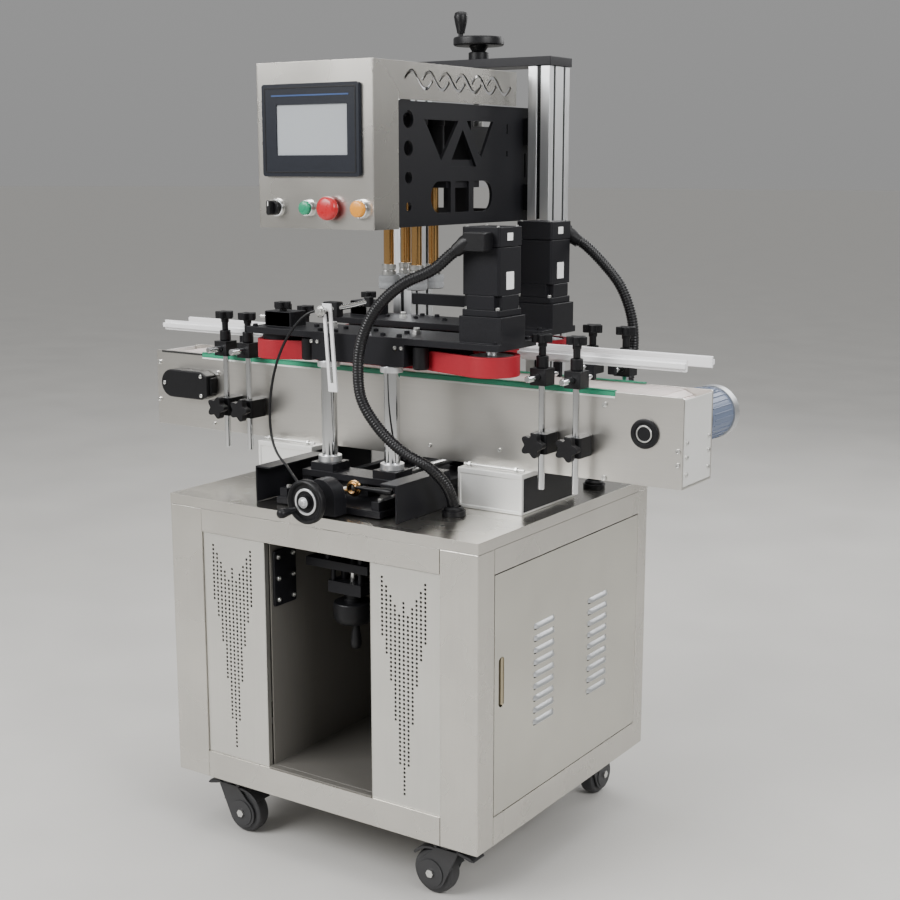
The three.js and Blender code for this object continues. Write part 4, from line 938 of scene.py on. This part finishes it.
def build_rail(place, x0, x1, side, posts):
    """A guide rail on its two sliding rods, and the posts and clamps that hold them."""
    y = -45 if side < 0 else 33
    plate = PLATE_FRONT if side < 0 else PLATE_BACK
    post_y = plate + side * POST_REACH
    body = f"guide_rail_{place}"
    inner, step, outer = y - side * 6, y - side * 6 + side * 5, y + side * 6
    profile = [(inner, RAIL_LOW + 1), (inner, RAIL_HIGH - 1), (step, RAIL_HIGH), (step, RAIL_HIGH - 6),
               (outer, RAIL_HIGH - 6), (outer, RAIL_LOW + 6), (step, RAIL_LOW + 6), (step, RAIL_LOW)]
    make(body + "_bar", [prism(profile, "x", x0, x1)], rail_white, body, bevel=0.7, replaces=(body,))
    rods, blocks = [], []
    for x in posts:
        tip, near = post_y + side * 52, y + side * 4
        start = min(tip, near)
        rods.append(rod("y", (x, start, ROD_Z), abs(tip - near), 5.85, 1))
        blocks.append(block(x - 7, x + 7, y - 5, y + 5, ROD_Z - 7, RAIL_LOW + 0.5))
    make(body + "_rods", rods, chrome, body, bevel=0)
    make(body + "_brackets", blocks, black_metal, body, bevel=0.8)

    steel, black, knobs = [], [], []
    for x in posts:
        y0, y1 = sorted((post_y + side * 14, plate + side * 0.3))
        black.append(prism(rounded(x - 17, x + 17, y0, y1, 5), "z", T + 118, T + 154))
        steel.append(rod("z", (x, post_y, T + 52), 187, 6, 1))
        black.append(prism(rectangle(x - 16, x + 16, T + 239, T + 269), "y", post_y - 16, post_y + 16,
                           [circle(x, ROD_Z, 6.3, 20)]))
        black.append(rod("z", (x, post_y, T + 269), 21, 11, 1))
        black.append(rod("z", (x, post_y, T + 290), 22, 6.5, 1))
        knobs += star_knob("z", (x, post_y, T + 306), 19, 22, 1)
        knobs += star_knob("y", (x, post_y + side * 14, T + 136), 23, 22, side)
    make(f"rail_posts_{place}", steel, chrome, "cabinet", bevel=0)
    make(f"rail_clamps_{place}", black, black_plastic, "cabinet", bevel=1.2, segments=3)
    make(f"rail_knobs_{place}", knobs, black_plastic, "cabinet", bevel=1.0, segments=3)


for place, layout in RAILS.items():
    build_rail(place, *layout)

# ---- columns and head drive ------------------------------------------------------------
COLUMN_IN, COLUMN_OUT, COLUMN_FRONT, COLUMN_BACK, COLUMN_TOP = 138, 185, 188, 266, T + 801
for name in ("column_left", "column_right"):
    refine(name, silver, 0.9)
refine("column_cap", black_metal, 1.0)
SLOT_HALF, SLOT_DEEP, SLOT_LOW, SLOT_HIGH = 3.9, 8.5, T + 12, COLUMN_TOP - 1
# black blocks set deep in each of the columns' slots make the slots read dark
dark_slot_blocks = []
for s in (-1, 1):
    for share in (0.26, 0.74):
        y = COLUMN_FRONT + (COLUMN_BACK - COLUMN_FRONT) * share
        for face, depth in ((s * COLUMN_IN, SLOT_DEEP), (s * COLUMN_OUT, -SLOT_DEEP)):
            near, far = sorted((face + s * depth * 0.25, face + s * depth))
            dark_slot_blocks.append(block(near, far, y - SLOT_HALF, y + SLOT_HALF, SLOT_LOW, SLOT_HIGH))
    middle = s * (COLUMN_IN + COLUMN_OUT) / 2
    for near, far in ((COLUMN_FRONT + 2, COLUMN_FRONT + SLOT_DEEP),
                      (COLUMN_BACK - SLOT_DEEP, COLUMN_BACK - 2)):
        dark_slot_blocks.append(block(middle - SLOT_HALF, middle + SLOT_HALF, near, far, SLOT_LOW, SLOT_HIGH))
make("column_slot_darkening", dark_slot_blocks, black_plastic, "cabinet", bevel=0.3)
make("column_crossbar", [prism(rounded(-137.5, 137.5, T + 333, T + 356, 2), "y", 190, 202)], black_metal,
     "cabinet", bevel=0.8)
plugs = [prism(rounded(s * 161.5 - 30, s * 161.5 + 30, 178, 276, 4), "z", T + 0.5, T + 12)
         for s in (-1, 1)]
make("column_feet", plugs, black_metal, "cabinet", bevel=1)

CAP_TOP = T + 818.3
SCREW_X, SCREW_Y = 2, 224
HEAD_WHEEL_RADIUS, HEAD_GRIP_OUT = 50, 42


def dish_wheel(axis, centre, radius, depth, hub, out=1):
    """A deep moulded handwheel: round rim, a sunk web and a raised hub, its face at the start."""
    rim = min(8, depth * 0.5)
    profile = [(0, -2), (hub, -2), (hub + 1, depth * 0.45), (radius - rim * 1.3, depth * 0.45),
               (radius - rim, 1.5), (radius - rim * 0.6, 0), (radius - 1.6, 1.0), (radius, 3.5),
               (radius, depth - 2.5), (radius - 2.5, depth), (hub * 1.3, depth), (0, depth)]
    return lathe(facing(profile, out), axis, centre, 72)


def grip(axis, centre, length, radius, out=1):
    """A revolving handle, fuller towards its free end."""
    profile = [(0, 0), (radius * 0.55, 0), (radius * 0.6, length * 0.12), (radius * 0.8, length * 0.4),
               (radius, length * 0.75), (radius * 0.85, length * 0.94), (radius * 0.4, length),
               (0, length)]
    return lathe(facing(profile, out), axis, centre, 32)


make("lead_screw", [rod("z", (SCREW_X, SCREW_Y, T + 600), CAP_TOP + 2 - T - 600, 9.8, 1),
                    rod("z", (SCREW_X, SCREW_Y, CAP_TOP + 1), 40, 12, 1)], bolt_steel, "head_wheel",
     bevel=0, replaces=("head_handwheel",))
wheel = [lathe([(0, 1), (20, 1), (20, 15), (14, 17), (0, 17)], "z", (SCREW_X, SCREW_Y, CAP_TOP), 32),
         dish_wheel("z", (SCREW_X, SCREW_Y, CAP_TOP + 45), HEAD_WHEEL_RADIUS, 17, 11, -1),
         lathe([(11, 14), (20, 28), (11, 28)], "z", (SCREW_X, SCREW_Y, CAP_TOP), 40),
         rod("z", (SCREW_X - HEAD_GRIP_OUT, SCREW_Y, CAP_TOP + 42), 13, 5, 0.5)]
make("head_wheel_rim", wheel, black_plastic, "head_wheel", bevel=0.6, smooth=50)
make("head_wheel_grip", [grip("z", (SCREW_X - HEAD_GRIP_OUT, SCREW_Y, CAP_TOP + 54), 42, 14)],
     black_plastic, "head_wheel", bevel=0, smooth=60)

# ---- head ------------------------------------------------------------------------------
HEAD_LOW, HEAD_TOP, HOOD_LOW = T + 507, T + 789, T + 726
HEAD_HALF, HEAD_FRONT, BOX_BACK, HOOD_BACK = 125, -293.4, -220, 166
SHEET = 2.5
refine("head_frame", black_metal, 0.9)
PANEL_SPOT = (-110, 101, T + 596, T + 752)
BUTTON_Z, BUTTON_HOLE = T + 542.5, 11.3
CAP_OUT, STEM_LENGTH, RED_STEM, SMALL_STEM = 8, 14, 10, 9
BUTTON_X = {"selector": -86, "green": -16, "red": 35.5, "yellow": 99}

WAVE_COUNT, WAVE_START, WAVE_PITCH = 6, -201, 52.4
WAVE_LENGTH, WAVE_HIGH, WAVE_WIDTH, WAVE_Z = 84, 14.5, 5.8, T + 760


def wave_slots():
    """Six S-shaped slots of one sine period each, which reach past each other without touching."""
    steps = 20
    slots = []
    for k in range(WAVE_COUNT):
        upper, lower = [], []
        for i in range(steps + 1):
            phase = 2 * math.pi * i / steps
            y = WAVE_START + WAVE_PITCH * k + WAVE_LENGTH * i / steps
            z = WAVE_Z + WAVE_HIGH * math.sin(phase)
            slope = WAVE_HIGH * 2 * math.pi / WAVE_LENGTH * math.cos(phase)
            reach = WAVE_WIDTH / 2 / math.hypot(1, slope)
            upper.append((y - reach * slope, z + reach))
            lower.append((y + reach * slope, z - reach))
        slots.append(upper + lower[::-1])
    return slots


GAP = 0.35
hood_side = [(HEAD_FRONT + GAP, HEAD_LOW), (BOX_BACK, HEAD_LOW), (BOX_BACK, HOOD_LOW),
             (HOOD_BACK, HOOD_LOW), (HOOD_BACK, HEAD_TOP - GAP), (HEAD_FRONT + GAP, HEAD_TOP - GAP)]
waves = wave_slots()
sides = [prism(hood_side, "x", x0, x0 + SHEET, waves) for x0 in (-HEAD_HALF, HEAD_HALF - SHEET)]
make("head_box_sides", sides, steel_z, "head", bevel=0, replaces=("hmi_box",), smooth=30)
# black sheets just inside the hood's sides, cut with the same slots, are painted shade: they make the
# inside of the hood read dark through the slots
shading_sheet_outline = [(HEAD_FRONT + 3, HEAD_LOW + 3), (BOX_BACK - 3, HEAD_LOW + 3), (BOX_BACK - 3, HOOD_LOW),
                (HOOD_BACK, HOOD_LOW), (HOOD_BACK, HEAD_TOP - 3), (HEAD_FRONT + 3, HEAD_TOP - 3)]
shading_sheets = [prism(shading_sheet_outline, "x", *sorted((s * (HEAD_HALF - SHEET), s * (HEAD_HALF - SHEET - 0.8))), waves)
         for s in (-1, 1)]
make("head_box_shade_sheets", shading_sheets, black_paint, "head", bevel=0, smooth=30)
rim, inner = HEAD_HALF - GAP, HEAD_HALF - SHEET
front_holes = [rounded(-98, 89, T + 608, T + 740, 2)]
front_holes += [circle(x, BUTTON_Z, BUTTON_HOLE, 24) for x in BUTTON_X.values()]
make("head_box_front", [prism(rectangle(-rim, rim, HEAD_LOW, HEAD_TOP - GAP), "y", HEAD_FRONT,
                              HEAD_FRONT + SHEET, front_holes)], steel_x, "head", bevel=0, smooth=30)
covers = [block(-rim, rim, HEAD_FRONT + GAP, HOOD_BACK - GAP, HEAD_TOP - SHEET, HEAD_TOP),
          block(-inner, inner, HEAD_FRONT + SHEET, BOX_BACK - GAP, HEAD_LOW + GAP, HEAD_LOW + SHEET),
          block(-inner, inner, BOX_BACK - SHEET, BOX_BACK - GAP, HEAD_LOW + SHEET, HOOD_LOW)]
make("head_box_covers", covers, steel_x, "head", bevel=0.6)
folds = [block(x - 1.3, x + 1.3, HEAD_FRONT - 0.4, HEAD_FRONT + 2, HEAD_LOW, HEAD_TOP)
         for x in (-HEAD_HALF, HEAD_HALF)]
make("head_box_folds", folds, steel_z, "head", bevel=1.0, segments=3)

x0, x1, z0, z1 = PANEL_SPOT
screen_outline = rounded(-78, 76, T + 632, T + 717, 1.5)
bezel = [prism(rounded(x0, x1, z0, z1, 5), "y", HEAD_FRONT - 7, HEAD_FRONT - 0.3, [screen_outline])]
make("screen_bezel", bezel, bezel_black, "head", bevel=1.2, segments=3, replaces=("hmi_panel",))
make("screen_glass_pane", [prism(screen_outline, "y", HEAD_FRONT - 4.6, HEAD_FRONT + 0.5)], screen_glass,
     "head", bevel=0)
lip = prism(rounded(x0 + 6, x1 - 6, z0 + 6, z1 - 6, 3), "y", HEAD_FRONT - 7.6, HEAD_FRONT - 7,
            [rounded(x0 + 8, x1 - 8, z0 + 8, z1 - 8, 2)])
make("screen_lip", [lip], black_plastic, "head", bevel=0.2)
make("screen_stripe", [block(-88, 80, HEAD_FRONT - 7.5, HEAD_FRONT - 7, T + 731, T + 733.5)], stripe_blue,
     "head", bevel=0)

bezels = []
for key, material, radius, length in (("green", green_cap, 12, 6), ("red", red_cap, 20, 12),
                                      ("yellow", amber_cap, 14, 8)):
    x, node = BUTTON_X[key], f"{key}_button"
    # each collar's bore clears the cap or its stem over the 5 mm of travel
    if key == "red":
        dome = [(0, -length), (radius * 0.7, -length), (radius * 0.94, -length + 2),
                (radius, -length + 5), (radius, 0), (RED_STEM, 0), (RED_STEM, STEM_LENGTH)]
        bore, collar, deep = RED_STEM + 1, 14, 2.5
    else:
        dome = [(0, -length + 0.8), (radius * 0.75, -length + 0.6), (radius * 0.95, -length + 1.6),
                (radius, -length + 3), (radius, 2.2), (SMALL_STEM, 2.2), (SMALL_STEM, STEM_LENGTH)]
        bore, collar, deep = radius + 0.4, radius + 2, 7.4
    cap = lathe([*dome, (0, STEM_LENGTH)], "y", (x, HEAD_FRONT - CAP_OUT, BUTTON_Z), 48)
    make(f"{node}_cap", [cap], material, node, bevel=0, replaces=(node,), smooth=50)
    profile = [(bore, -0.2), (collar, -0.2), (collar, 1 - deep), (collar - 1, -deep), (bore, -deep)]
    bezels.append(lathe(profile, "y", (x, HEAD_FRONT, BUTTON_Z), 48, bore=True))
sx = BUTTON_X["selector"]
bezels.append(lathe([(9, -0.2), (15.5, -0.2), (15.5, -3.5), (14, -5), (9, -5)], "y",
                    (sx, HEAD_FRONT, BUTTON_Z), 48, bore=True))
make("button_bezels", bezels, chrome, "head", bevel=0.2)
# the knob's skirt stays just clear of its collar, and its stem goes into the collar's bore
skirt = lathe([(0, -14), (11.5, -14), (13, -12.5), (13, -5.5), (8.4, -5.5), (8.4, -1), (0, -1)], "y",
              (sx, HEAD_FRONT, BUTTON_Z), 40)
lying = moved(prism(stadium(-9, 9, 0, 4, 8), "y", HEAD_FRONT - 25, HEAD_FRONT - 12), sx, 0, BUTTON_Z)
handle = turned(lying, "y", 90, (sx, 0, BUTTON_Z))
make("selector_knob", [skirt, handle], black_plastic, "selector", bevel=0.8,
     replaces=("selector_switch",))
make("selector_mark", [block(sx - 0.8, sx + 0.8, HEAD_FRONT - 25.3, HEAD_FRONT - 25, BUTTON_Z + 3,
                             BUTTON_Z + 11)], label_white, "selector", bevel=0)

# spindles
SPINDLE_LOW, SPINDLE_X, SPINDLE_Y, MOTOR_LOW = T + 385, 32, 28, T + 625.5
TYRE = [(11, 0), (17, 0), (19.4, 1.5), (20, 5), (20, 9), (19, 11), (19, 14), (20, 16), (20, 21),
        (19.4, 24.5), (17, 26), (11, 26)]
COLLAR = [(0, 26), (14, 26), (14, 34), (12.6, 35), (12.6, 37), (14, 38), (14, 47), (0, 47)]
MOTOR_CASE = [(0, 0), (22, 0), (22, 8), (20.5, 9), (20.5, 62), (22, 63), (22, 78), (19, 82), (0, 82)]
SLEEVE_LOW = SPINDLE_LOW + 46
SLEEVE_LONG = HEAD_LOW + 118 - SLEEVE_LOW
for i, (v, u) in enumerate(four(1), 1):
    x, y, body = u * SPINDLE_X, CENTRE_Y + v * SPINDLE_Y, f"spindle_{i}"
    foot = (x, y, SPINDLE_LOW)
    make(f"spindle_wheel_{i}", [lathe(TYRE, "z", foot, 48)], grey_rubber, body, bevel=0.2,
         replaces=(body,))
    make(f"spindle_collar_{i}", [lathe(COLLAR, "z", foot, 40)], bolt_steel, body, bevel=0.4)
    sleeve = rod("z", (x, y, SLEEVE_LOW), SLEEVE_LONG, 9.8, 1, 40)
    make(f"spindle_sleeve_{i}", [sleeve], brass, body, bevel=0)
    # a small drive motor stands over each spindle, inside the side plates
    make(f"spindle_motor_{i}", [lathe(MOTOR_CASE, "z", (x, y, MOTOR_LOW), 40)], black_paint, "head",
         bevel=0.4)

# ---- clamp -----------------------------------------------------------------------------
PLATE_TOP = T + 314
BELT_OFFSET, IDLER_BELT_X = 134, -205
CLAMP_COLUMN_X, CLAMP_COLUMN_RADIUS = 72, 14.7
SERVO_FOOT = 46.3  # the servo stands on its gearbox, this far above the clamp plate
SERVO_HALF, SERVO_LOW = 38, PLATE_TOP + SERVO_FOOT
NOTCH = 10  # cut from each corner of the servo where its flange's screws go

GLAND_PATHS = {
    "front": [(252, -192, 1169), (243, -195, 1163), (236, -197, 1158), (228, -199, 1152)],
    "rear": [(232, 179, 1167), (241, 181, 1162), (248, 183, 1158), (256, 185, 1152)],
}


def build_clamp(place, side, drive_x):
    """One of the two belt clamps, from its carriage up to its servo motor."""
    body = f"clamp_{place}"
    carriage_y = CENTRE_Y + side * 165
    pulley_y = CENTRE_Y + side * BELT_OFFSET

    def span(near, far):
        return sorted((CENTRE_Y + side * near, CENTRE_Y + side * far))

    refine(f"carriage_{place}", black_metal, 0.9)
    columns, collars = [], []
    for x in (-CLAMP_COLUMN_X, CLAMP_COLUMN_X):
        columns.append(rod("z", (x, carriage_y, T + 66), 195.5, CLAMP_COLUMN_RADIUS, 1, 48))
        collars.append(ring("z", (x, carriage_y, T + 70), 12, 22, CLAMP_COLUMN_RADIUS + 0.1))
        collars.append(ring("z", (x, carriage_y, T + 249), 11, 21, CLAMP_COLUMN_RADIUS + 0.1))
    make(f"clamp_columns_{place}", columns, chrome, body, bevel=0)
    make(f"clamp_collars_{place}", collars, silver, body, bevel=0.6)
    refine(f"clamp_plate_{place}", black_metal, 1.0)
    refine(f"grip_belt_{place}", red_rubber, 0.9, smooth=25)
    refine(f"drive_pulley_{place}", silver, 0.6)

    y0, y1 = span(55, 183)
    heads = [cap_screw("z", (x, y, PLATE_TOP), 5, 5) for x in (-244, drive_x + 32)
             for y in (y0 + 12, y1 - 12)]
    heads += [cap_screw("z", (x, CENTRE_Y + side * 166, PLATE_TOP), 5, 5) for x in (-90, -54, 54, 90)]
    heads += [cap_screw("z", (x, CENTRE_Y + side * 114, PLATE_TOP), 5, 5)
              for x in (-140, -70, 0, 70, drive_x - 72)]
    make(f"clamp_screws_{place}", heads, black_metal, body, bevel=0)
    edge_y = CENTRE_Y + side * 183
    edge_heads = [cap_screw("y", (x + dx, edge_y, T + 296), 3.5, 3, side) for x in (-90, 100)
                  for dx in (-7, 7)]
    make(f"beam_screws_{place}", edge_heads, bolt_steel, body, bevel=0)

    # tension block, its screw and the knob that sets it
    block_y = pulley_y + side * 3
    outline = rounded(IDLER_BELT_X - 30, IDLER_BELT_X + 34, pulley_y - 20, pulley_y + 26, 3)
    make(f"tension_block_{place}", [prism(outline, "z", PLATE_TOP - 0.5, T + 342.6)], black_metal, body,
         bevel=1.0)
    make(f"tension_screw_{place}", [rod("x", (IDLER_BELT_X - 54, block_y, T + 330), 40, 4, 0.8),
                                    hex_nut("x", (IDLER_BELT_X - 31, block_y, T + 330), 8, 5, -1)],
         bolt_steel, body, bevel=0.3)
    make(f"tension_knob_{place}", star_knob("z", (IDLER_BELT_X + 2, block_y, T + 342), 17, 18, 1),
         black_plastic, body, bevel=1.0)
    studs = [rod("z", (x, CENTRE_Y + side * 112, PLATE_TOP), 12, 6, 1) for x in (-100, 90)]
    studs += [hex_nut("z", (x, CENTRE_Y + side * 112, PLATE_TOP), 8, 6) for x in (-100, 90)]
    make(f"press_studs_{place}", studs, bolt_steel, body, bevel=0.3)

    # servo motor: flange, body, cap and connector boxes
    h, z = SERVO_HALF, SERVO_LOW
    x0, x1, y0, y1 = drive_x - h, drive_x + h, pulley_y - h, pulley_y + h
    xa, xb, ya, yb = x0 + NOTCH, x1 - NOTCH, y0 + NOTCH, y1 - NOTCH
    notched = [(xa, y0), (xb, y0), (xb, ya), (x1, ya), (x1, yb), (xb, yb),
               (xb, y1), (xa, y1), (xa, yb), (x0, yb), (x0, ya), (xa, ya)]
    shapes = [prism(rounded(x0, x1, y0, y1, 4), "z", z, z + 11.5),
              prism(notched, "z", z + 11.5, z + 36),
              prism(rounded(x0 + 0.6, x1 - 0.6, y0 + 0.6, y1 - 0.6, 5), "z", z + 36, z + 118),
              prism(rounded(x0, x1, y0, y1, 5), "z", z + 119, z + 152)]
    make(f"servo_body_{place}", shapes, black_paint, body, bevel=1.2, segments=3,
         replaces=(f"servo_motor_{place}",))
    face = pulley_y + side * h
    socket = prism(rounded(drive_x - 19, drive_x + 25, z + 112, z + 144, 4), "y",
                   *sorted((face - side, face + side * 27)))
    make(f"servo_sockets_{place}", [socket], black_plastic, body, bevel=1.5, segments=3)
    spots = [Vector(p) for p in GLAND_PATHS[place]]
    make(f"servo_gland_{place}", [tube(spots, lambda i: (15, 15, 12.5, 11.6)[i], 28)], black_plastic,
         body, bevel=0.4)
    bolts = [cap_screw("z", (drive_x + u, pulley_y + v, z + up), radius, height)
             for up, radius, height in ((11, 4.5, 5), (152, 3, 2)) for u, v in four(31)]
    make(f"servo_bolts_{place}", bolts, bolt_steel, body, bevel=0)
    labels = [block(x1 - 0.8, x1 + 0.3, pulley_y + near, pulley_y + far, z + low, z + high)
              for near, far, low, high in ((-14, 10, 46, 76), (-12, 6, 129, 142))]
    make(f"servo_labels_{place}", labels, label_white, body, bevel=0)
    # a roller at each end of the beam presses the belt's outer run in
    roller = [(0, 0), (13, 0), (14.5, 2), (14.5, 40), (13, 42), (0, 42)]
    rollers = [lathe(roller, "z", (x, CENTRE_Y + side * 162, T + 258), 36) for x in (-120, 134)]
    make(f"press_rollers_{place}", rollers, black_plastic, body, bevel=0.3)


for place, side in SIDES.items():
    build_clamp(place, side, 265 if side < 0 else 212)

# sensor arm on the front clamp
leaning = [(-57, T + 369), (-37, T + 369), (-25, T + 208), (-45, T + 208)]
slot = [(-49.5, T + 355), (-42.5, T + 355), (-33, T + 224), (-40, T + 224)]
make("sensor_bar", [prism(leaning, "y", -209, -205, [slot])], rail_white, "clamp_front", bevel=0.6)
arm = smooth_path([(-38, -203, T + 360), (-16, -180, T + 364), (10, -156, T + 372)], 6)[0]
make("sensor_arm", [tube(arm, lambda i: 5, 16)], chrome, "clamp_front", bevel=0)
make("sensor_arm_clamps", [prism(rounded(-58, -26, T + 344, T + 372, 3), "y", -205, -186),
                           prism(rounded(3, 17, -163, -149, 3), "z", T + 362, T + 380)], black_plastic,
     "clamp_front", bevel=1.0)
make("sensor_post", [rod("z", (10, -156, T + 313), 66, 5, 1)], chrome, "clamp_front", bevel=0)
make("sensor_eye", [rod("y", (-52, -228, T + 356), 20, 7, 1), ring("y", (-52, -222, T + 356), 4, 10, 7)],
     bolt_steel, "clamp_front", bevel=0.3)
make("sensor_lead_gland", [lathe([(0, 0), (7, 0), (7, 6), (4, 16), (0, 16)], "z", (-60, -207, T + 344),
                                 24)], black_plastic, "clamp_front", bevel=0)

# ---- lift, base covers and width drive -------------------------------------------------
for name in ("base_cover_left", "base_cover_right"):
    refine(name, black_paint, 0.8)
refine("lift_platform", black_metal, 0.9)
refine("lift_guide", black_metal, 0.9)
# the nut clears the width screw beside it
nut = lathe([(8, 0), (15, 0), (15, -5), (11, -6), (11, -12), (8, -12)], "y", (32, -233, T + 41), 40,
            bore=True)
make("brass_nut", [nut], brass, "lift", bevel=0.4)
lever = lathe([(0, 0), (3, 0), (5.5, 60), (6.5, 74), (4, 80), (0, 80)], "x", (44, -245, T + 46), 24)
make("lock_lever", [lever], black_plastic, "lift", bevel=0)
make("lift_screws", [cap_screw("z", (s * 105, y, T + 31), 5, 4) for s in (-1, 1)
                     for y in (-255, -215, 215, 240)],
     bolt_steel, "lift", bevel=0)

WIDTH_X, WIDTH_FRONT, WIDTH_Z = 10, -352, T + 34
make("width_screw", [rod("y", (WIDTH_X, WIDTH_FRONT, WIDTH_Z), 246 - WIDTH_FRONT, 6.8, 1)], bolt_steel,
     "width_wheel", bevel=0, replaces=("width_handwheel",))
make("width_rim", [dish_wheel("y", (WIDTH_X, WIDTH_FRONT, WIDTH_Z), 40, 14, 12)], black_plastic,
     "width_wheel", bevel=0.3, smooth=50)
make("width_hub", [lathe([(0, -7), (5, -7), (6, -6), (6, -3), (10, -3), (10, 1), (0, 1)], "y",
                         (WIDTH_X, WIDTH_FRONT, WIDTH_Z), 40),
                   ring("y", (WIDTH_X, WIDTH_FRONT + 3.6, WIDTH_Z), 3, 24, 20)], silver, "width_wheel",
     bevel=0.3)
make("width_grip", [grip("y", (WIDTH_X - 22, WIDTH_FRONT, WIDTH_Z - 16), 42, 9, -1)], black_plastic,
     "width_wheel", bevel=0, smooth=60)

LIFT_WHEEL_LOW, LIFT_WHEEL_RADIUS = 455, 38
LIFT_AXIS = (0, -200)
LIFT_SCREW_LOW = LIFT_WHEEL_LOW + 8
lift_screw = rod("z", (*LIFT_AXIS, LIFT_SCREW_LOW), FRAME_TOP - 5 - LIFT_WHEEL_LOW - 8, 5.8, 1)
make("lift_screw", [lift_screw], bolt_steel, "lift_wheel", bevel=0, replaces=("lift_handwheel",))
drum = [(0, 6), (20, 6), (24, 0.5), (30, 0), (34, 3), (37, 9), (LIFT_WHEEL_RADIUS, 15),
        (LIFT_WHEEL_RADIUS, 37), (36, 40), (17, 40), (17, 46), (14.5, 47), (14.5, 51), (17, 52),
        (17, 56.5), (0, 56.5)]
make("lift_wheel_drum", [lathe(drum, "z", (*LIFT_AXIS, LIFT_WHEEL_LOW), 64)], black_plastic, "lift_wheel",
     bevel=0.4, smooth=40)
make("lift_wheel_grip", [grip("z", (16, -214, LIFT_WHEEL_LOW + 3), 49, 11, -1)], black_plastic,
     "lift_wheel", bevel=0, smooth=60)

# ---- floor -----------------------------------------------------------------------------
floor_surface = surface("floor", (0.50, 0.49, 0.47), 0.6, 0.0, scale=3.0, spread=0.06, bump=0.05,
                        bump_scale=40)
floor_mesh = bpy.data.meshes.new("floor")
FLOOR_HALF = 80
floor_corners = [(x, y, 0) for x, y in rectangle(-FLOOR_HALF, FLOOR_HALF, -FLOOR_HALF, FLOOR_HALF)]
floor_mesh.from_pydata(floor_corners, [], [(0, 1, 2, 3)])
floor = bpy.data.objects.new("floor", floor_mesh)
floor_mesh.materials.append(floor_surface)
bpy.context.scene.collection.objects.link(floor)

# ---- table glands ----------------------------------------------------------------------
# black fittings where the two conduits go through the table
TABLE_GLANDS = {"front": (204, -168), "rear": (305, 172)}
GLAND_BORE = 13.2
gland_nut = [(GLAND_BORE, 9.9), (18, 9.9), (18, 14), (15, 17), (GLAND_BORE, 17)]
for name, (x, y) in TABLE_GLANDS.items():
    make(f"table_gland_{name}", [ring("z", (x, y, T + 0.3), 9.6, 21.5, GLAND_BORE),
                                 lathe(gland_nut, "z", (x, y, T), 40, bore=True)], black_plastic,
         "cabinet", bevel=0.6)

# ---- light -----------------------------------------------------------------------------
SKY_MIDDLE, SKY_HIGH, SKY_STRENGTH = 0.35, 0.9, 0.85
world = bpy.data.worlds.new("studio")
bpy.context.scene.world = world
world.use_nodes = True
sky, sky_links = world.node_tree.nodes, world.node_tree.links
direction = sky.new("ShaderNodeTexCoord")
height = sky.new("ShaderNodeSeparateXYZ")
fade = sky.new("ShaderNodeValToRGB")
low_stop, high_stop = fade.color_ramp.elements
low_stop.position, low_stop.color = 0.0, (0.36, 0.36, 0.36, 1)
high_stop.position, high_stop.color = SKY_HIGH, (0.85, 0.85, 0.84, 1)
middle_stop = fade.color_ramp.elements.new(SKY_MIDDLE)
middle_stop.color = (0.42, 0.42, 0.42, 1)
sky_links.new(direction.outputs["Generated"], height.inputs["Vector"])
sky_links.new(height.outputs["Z"], fade.inputs["Fac"])
sky_links.new(fade.outputs["Color"], sky["Background"].inputs["Color"])
sky["Background"].inputs["Strength"].default_value = SKY_STRENGTH


AIM = Vector((0, 0, 0.8))


def area_light(name, place, width, height, watts):
    data = bpy.data.lights.new(name, "AREA")
    data.shape = "RECTANGLE"
    data.size, data.size_y, data.energy = width, height, watts
    light = bpy.data.objects.new(name, data)
    light.location = place
    light.rotation_euler = (AIM - Vector(place)).to_track_quat("-Z", "Y").to_euler()
    bpy.context.scene.collection.objects.link(light)


# each light is aimed at the middle of the machine
area_light("key", (-1.6, -3.2, 3.0), 2.8, 2.0, 230)
area_light("side", (3.6, -1.0, 2.8), 2.2, 1.6, 130)
area_light("top", (0.2, 0.4, 4.2), 3.4, 3.0, 110)
area_light("back", (1.0, 3.6, 2.6), 2.4, 1.6, 60)
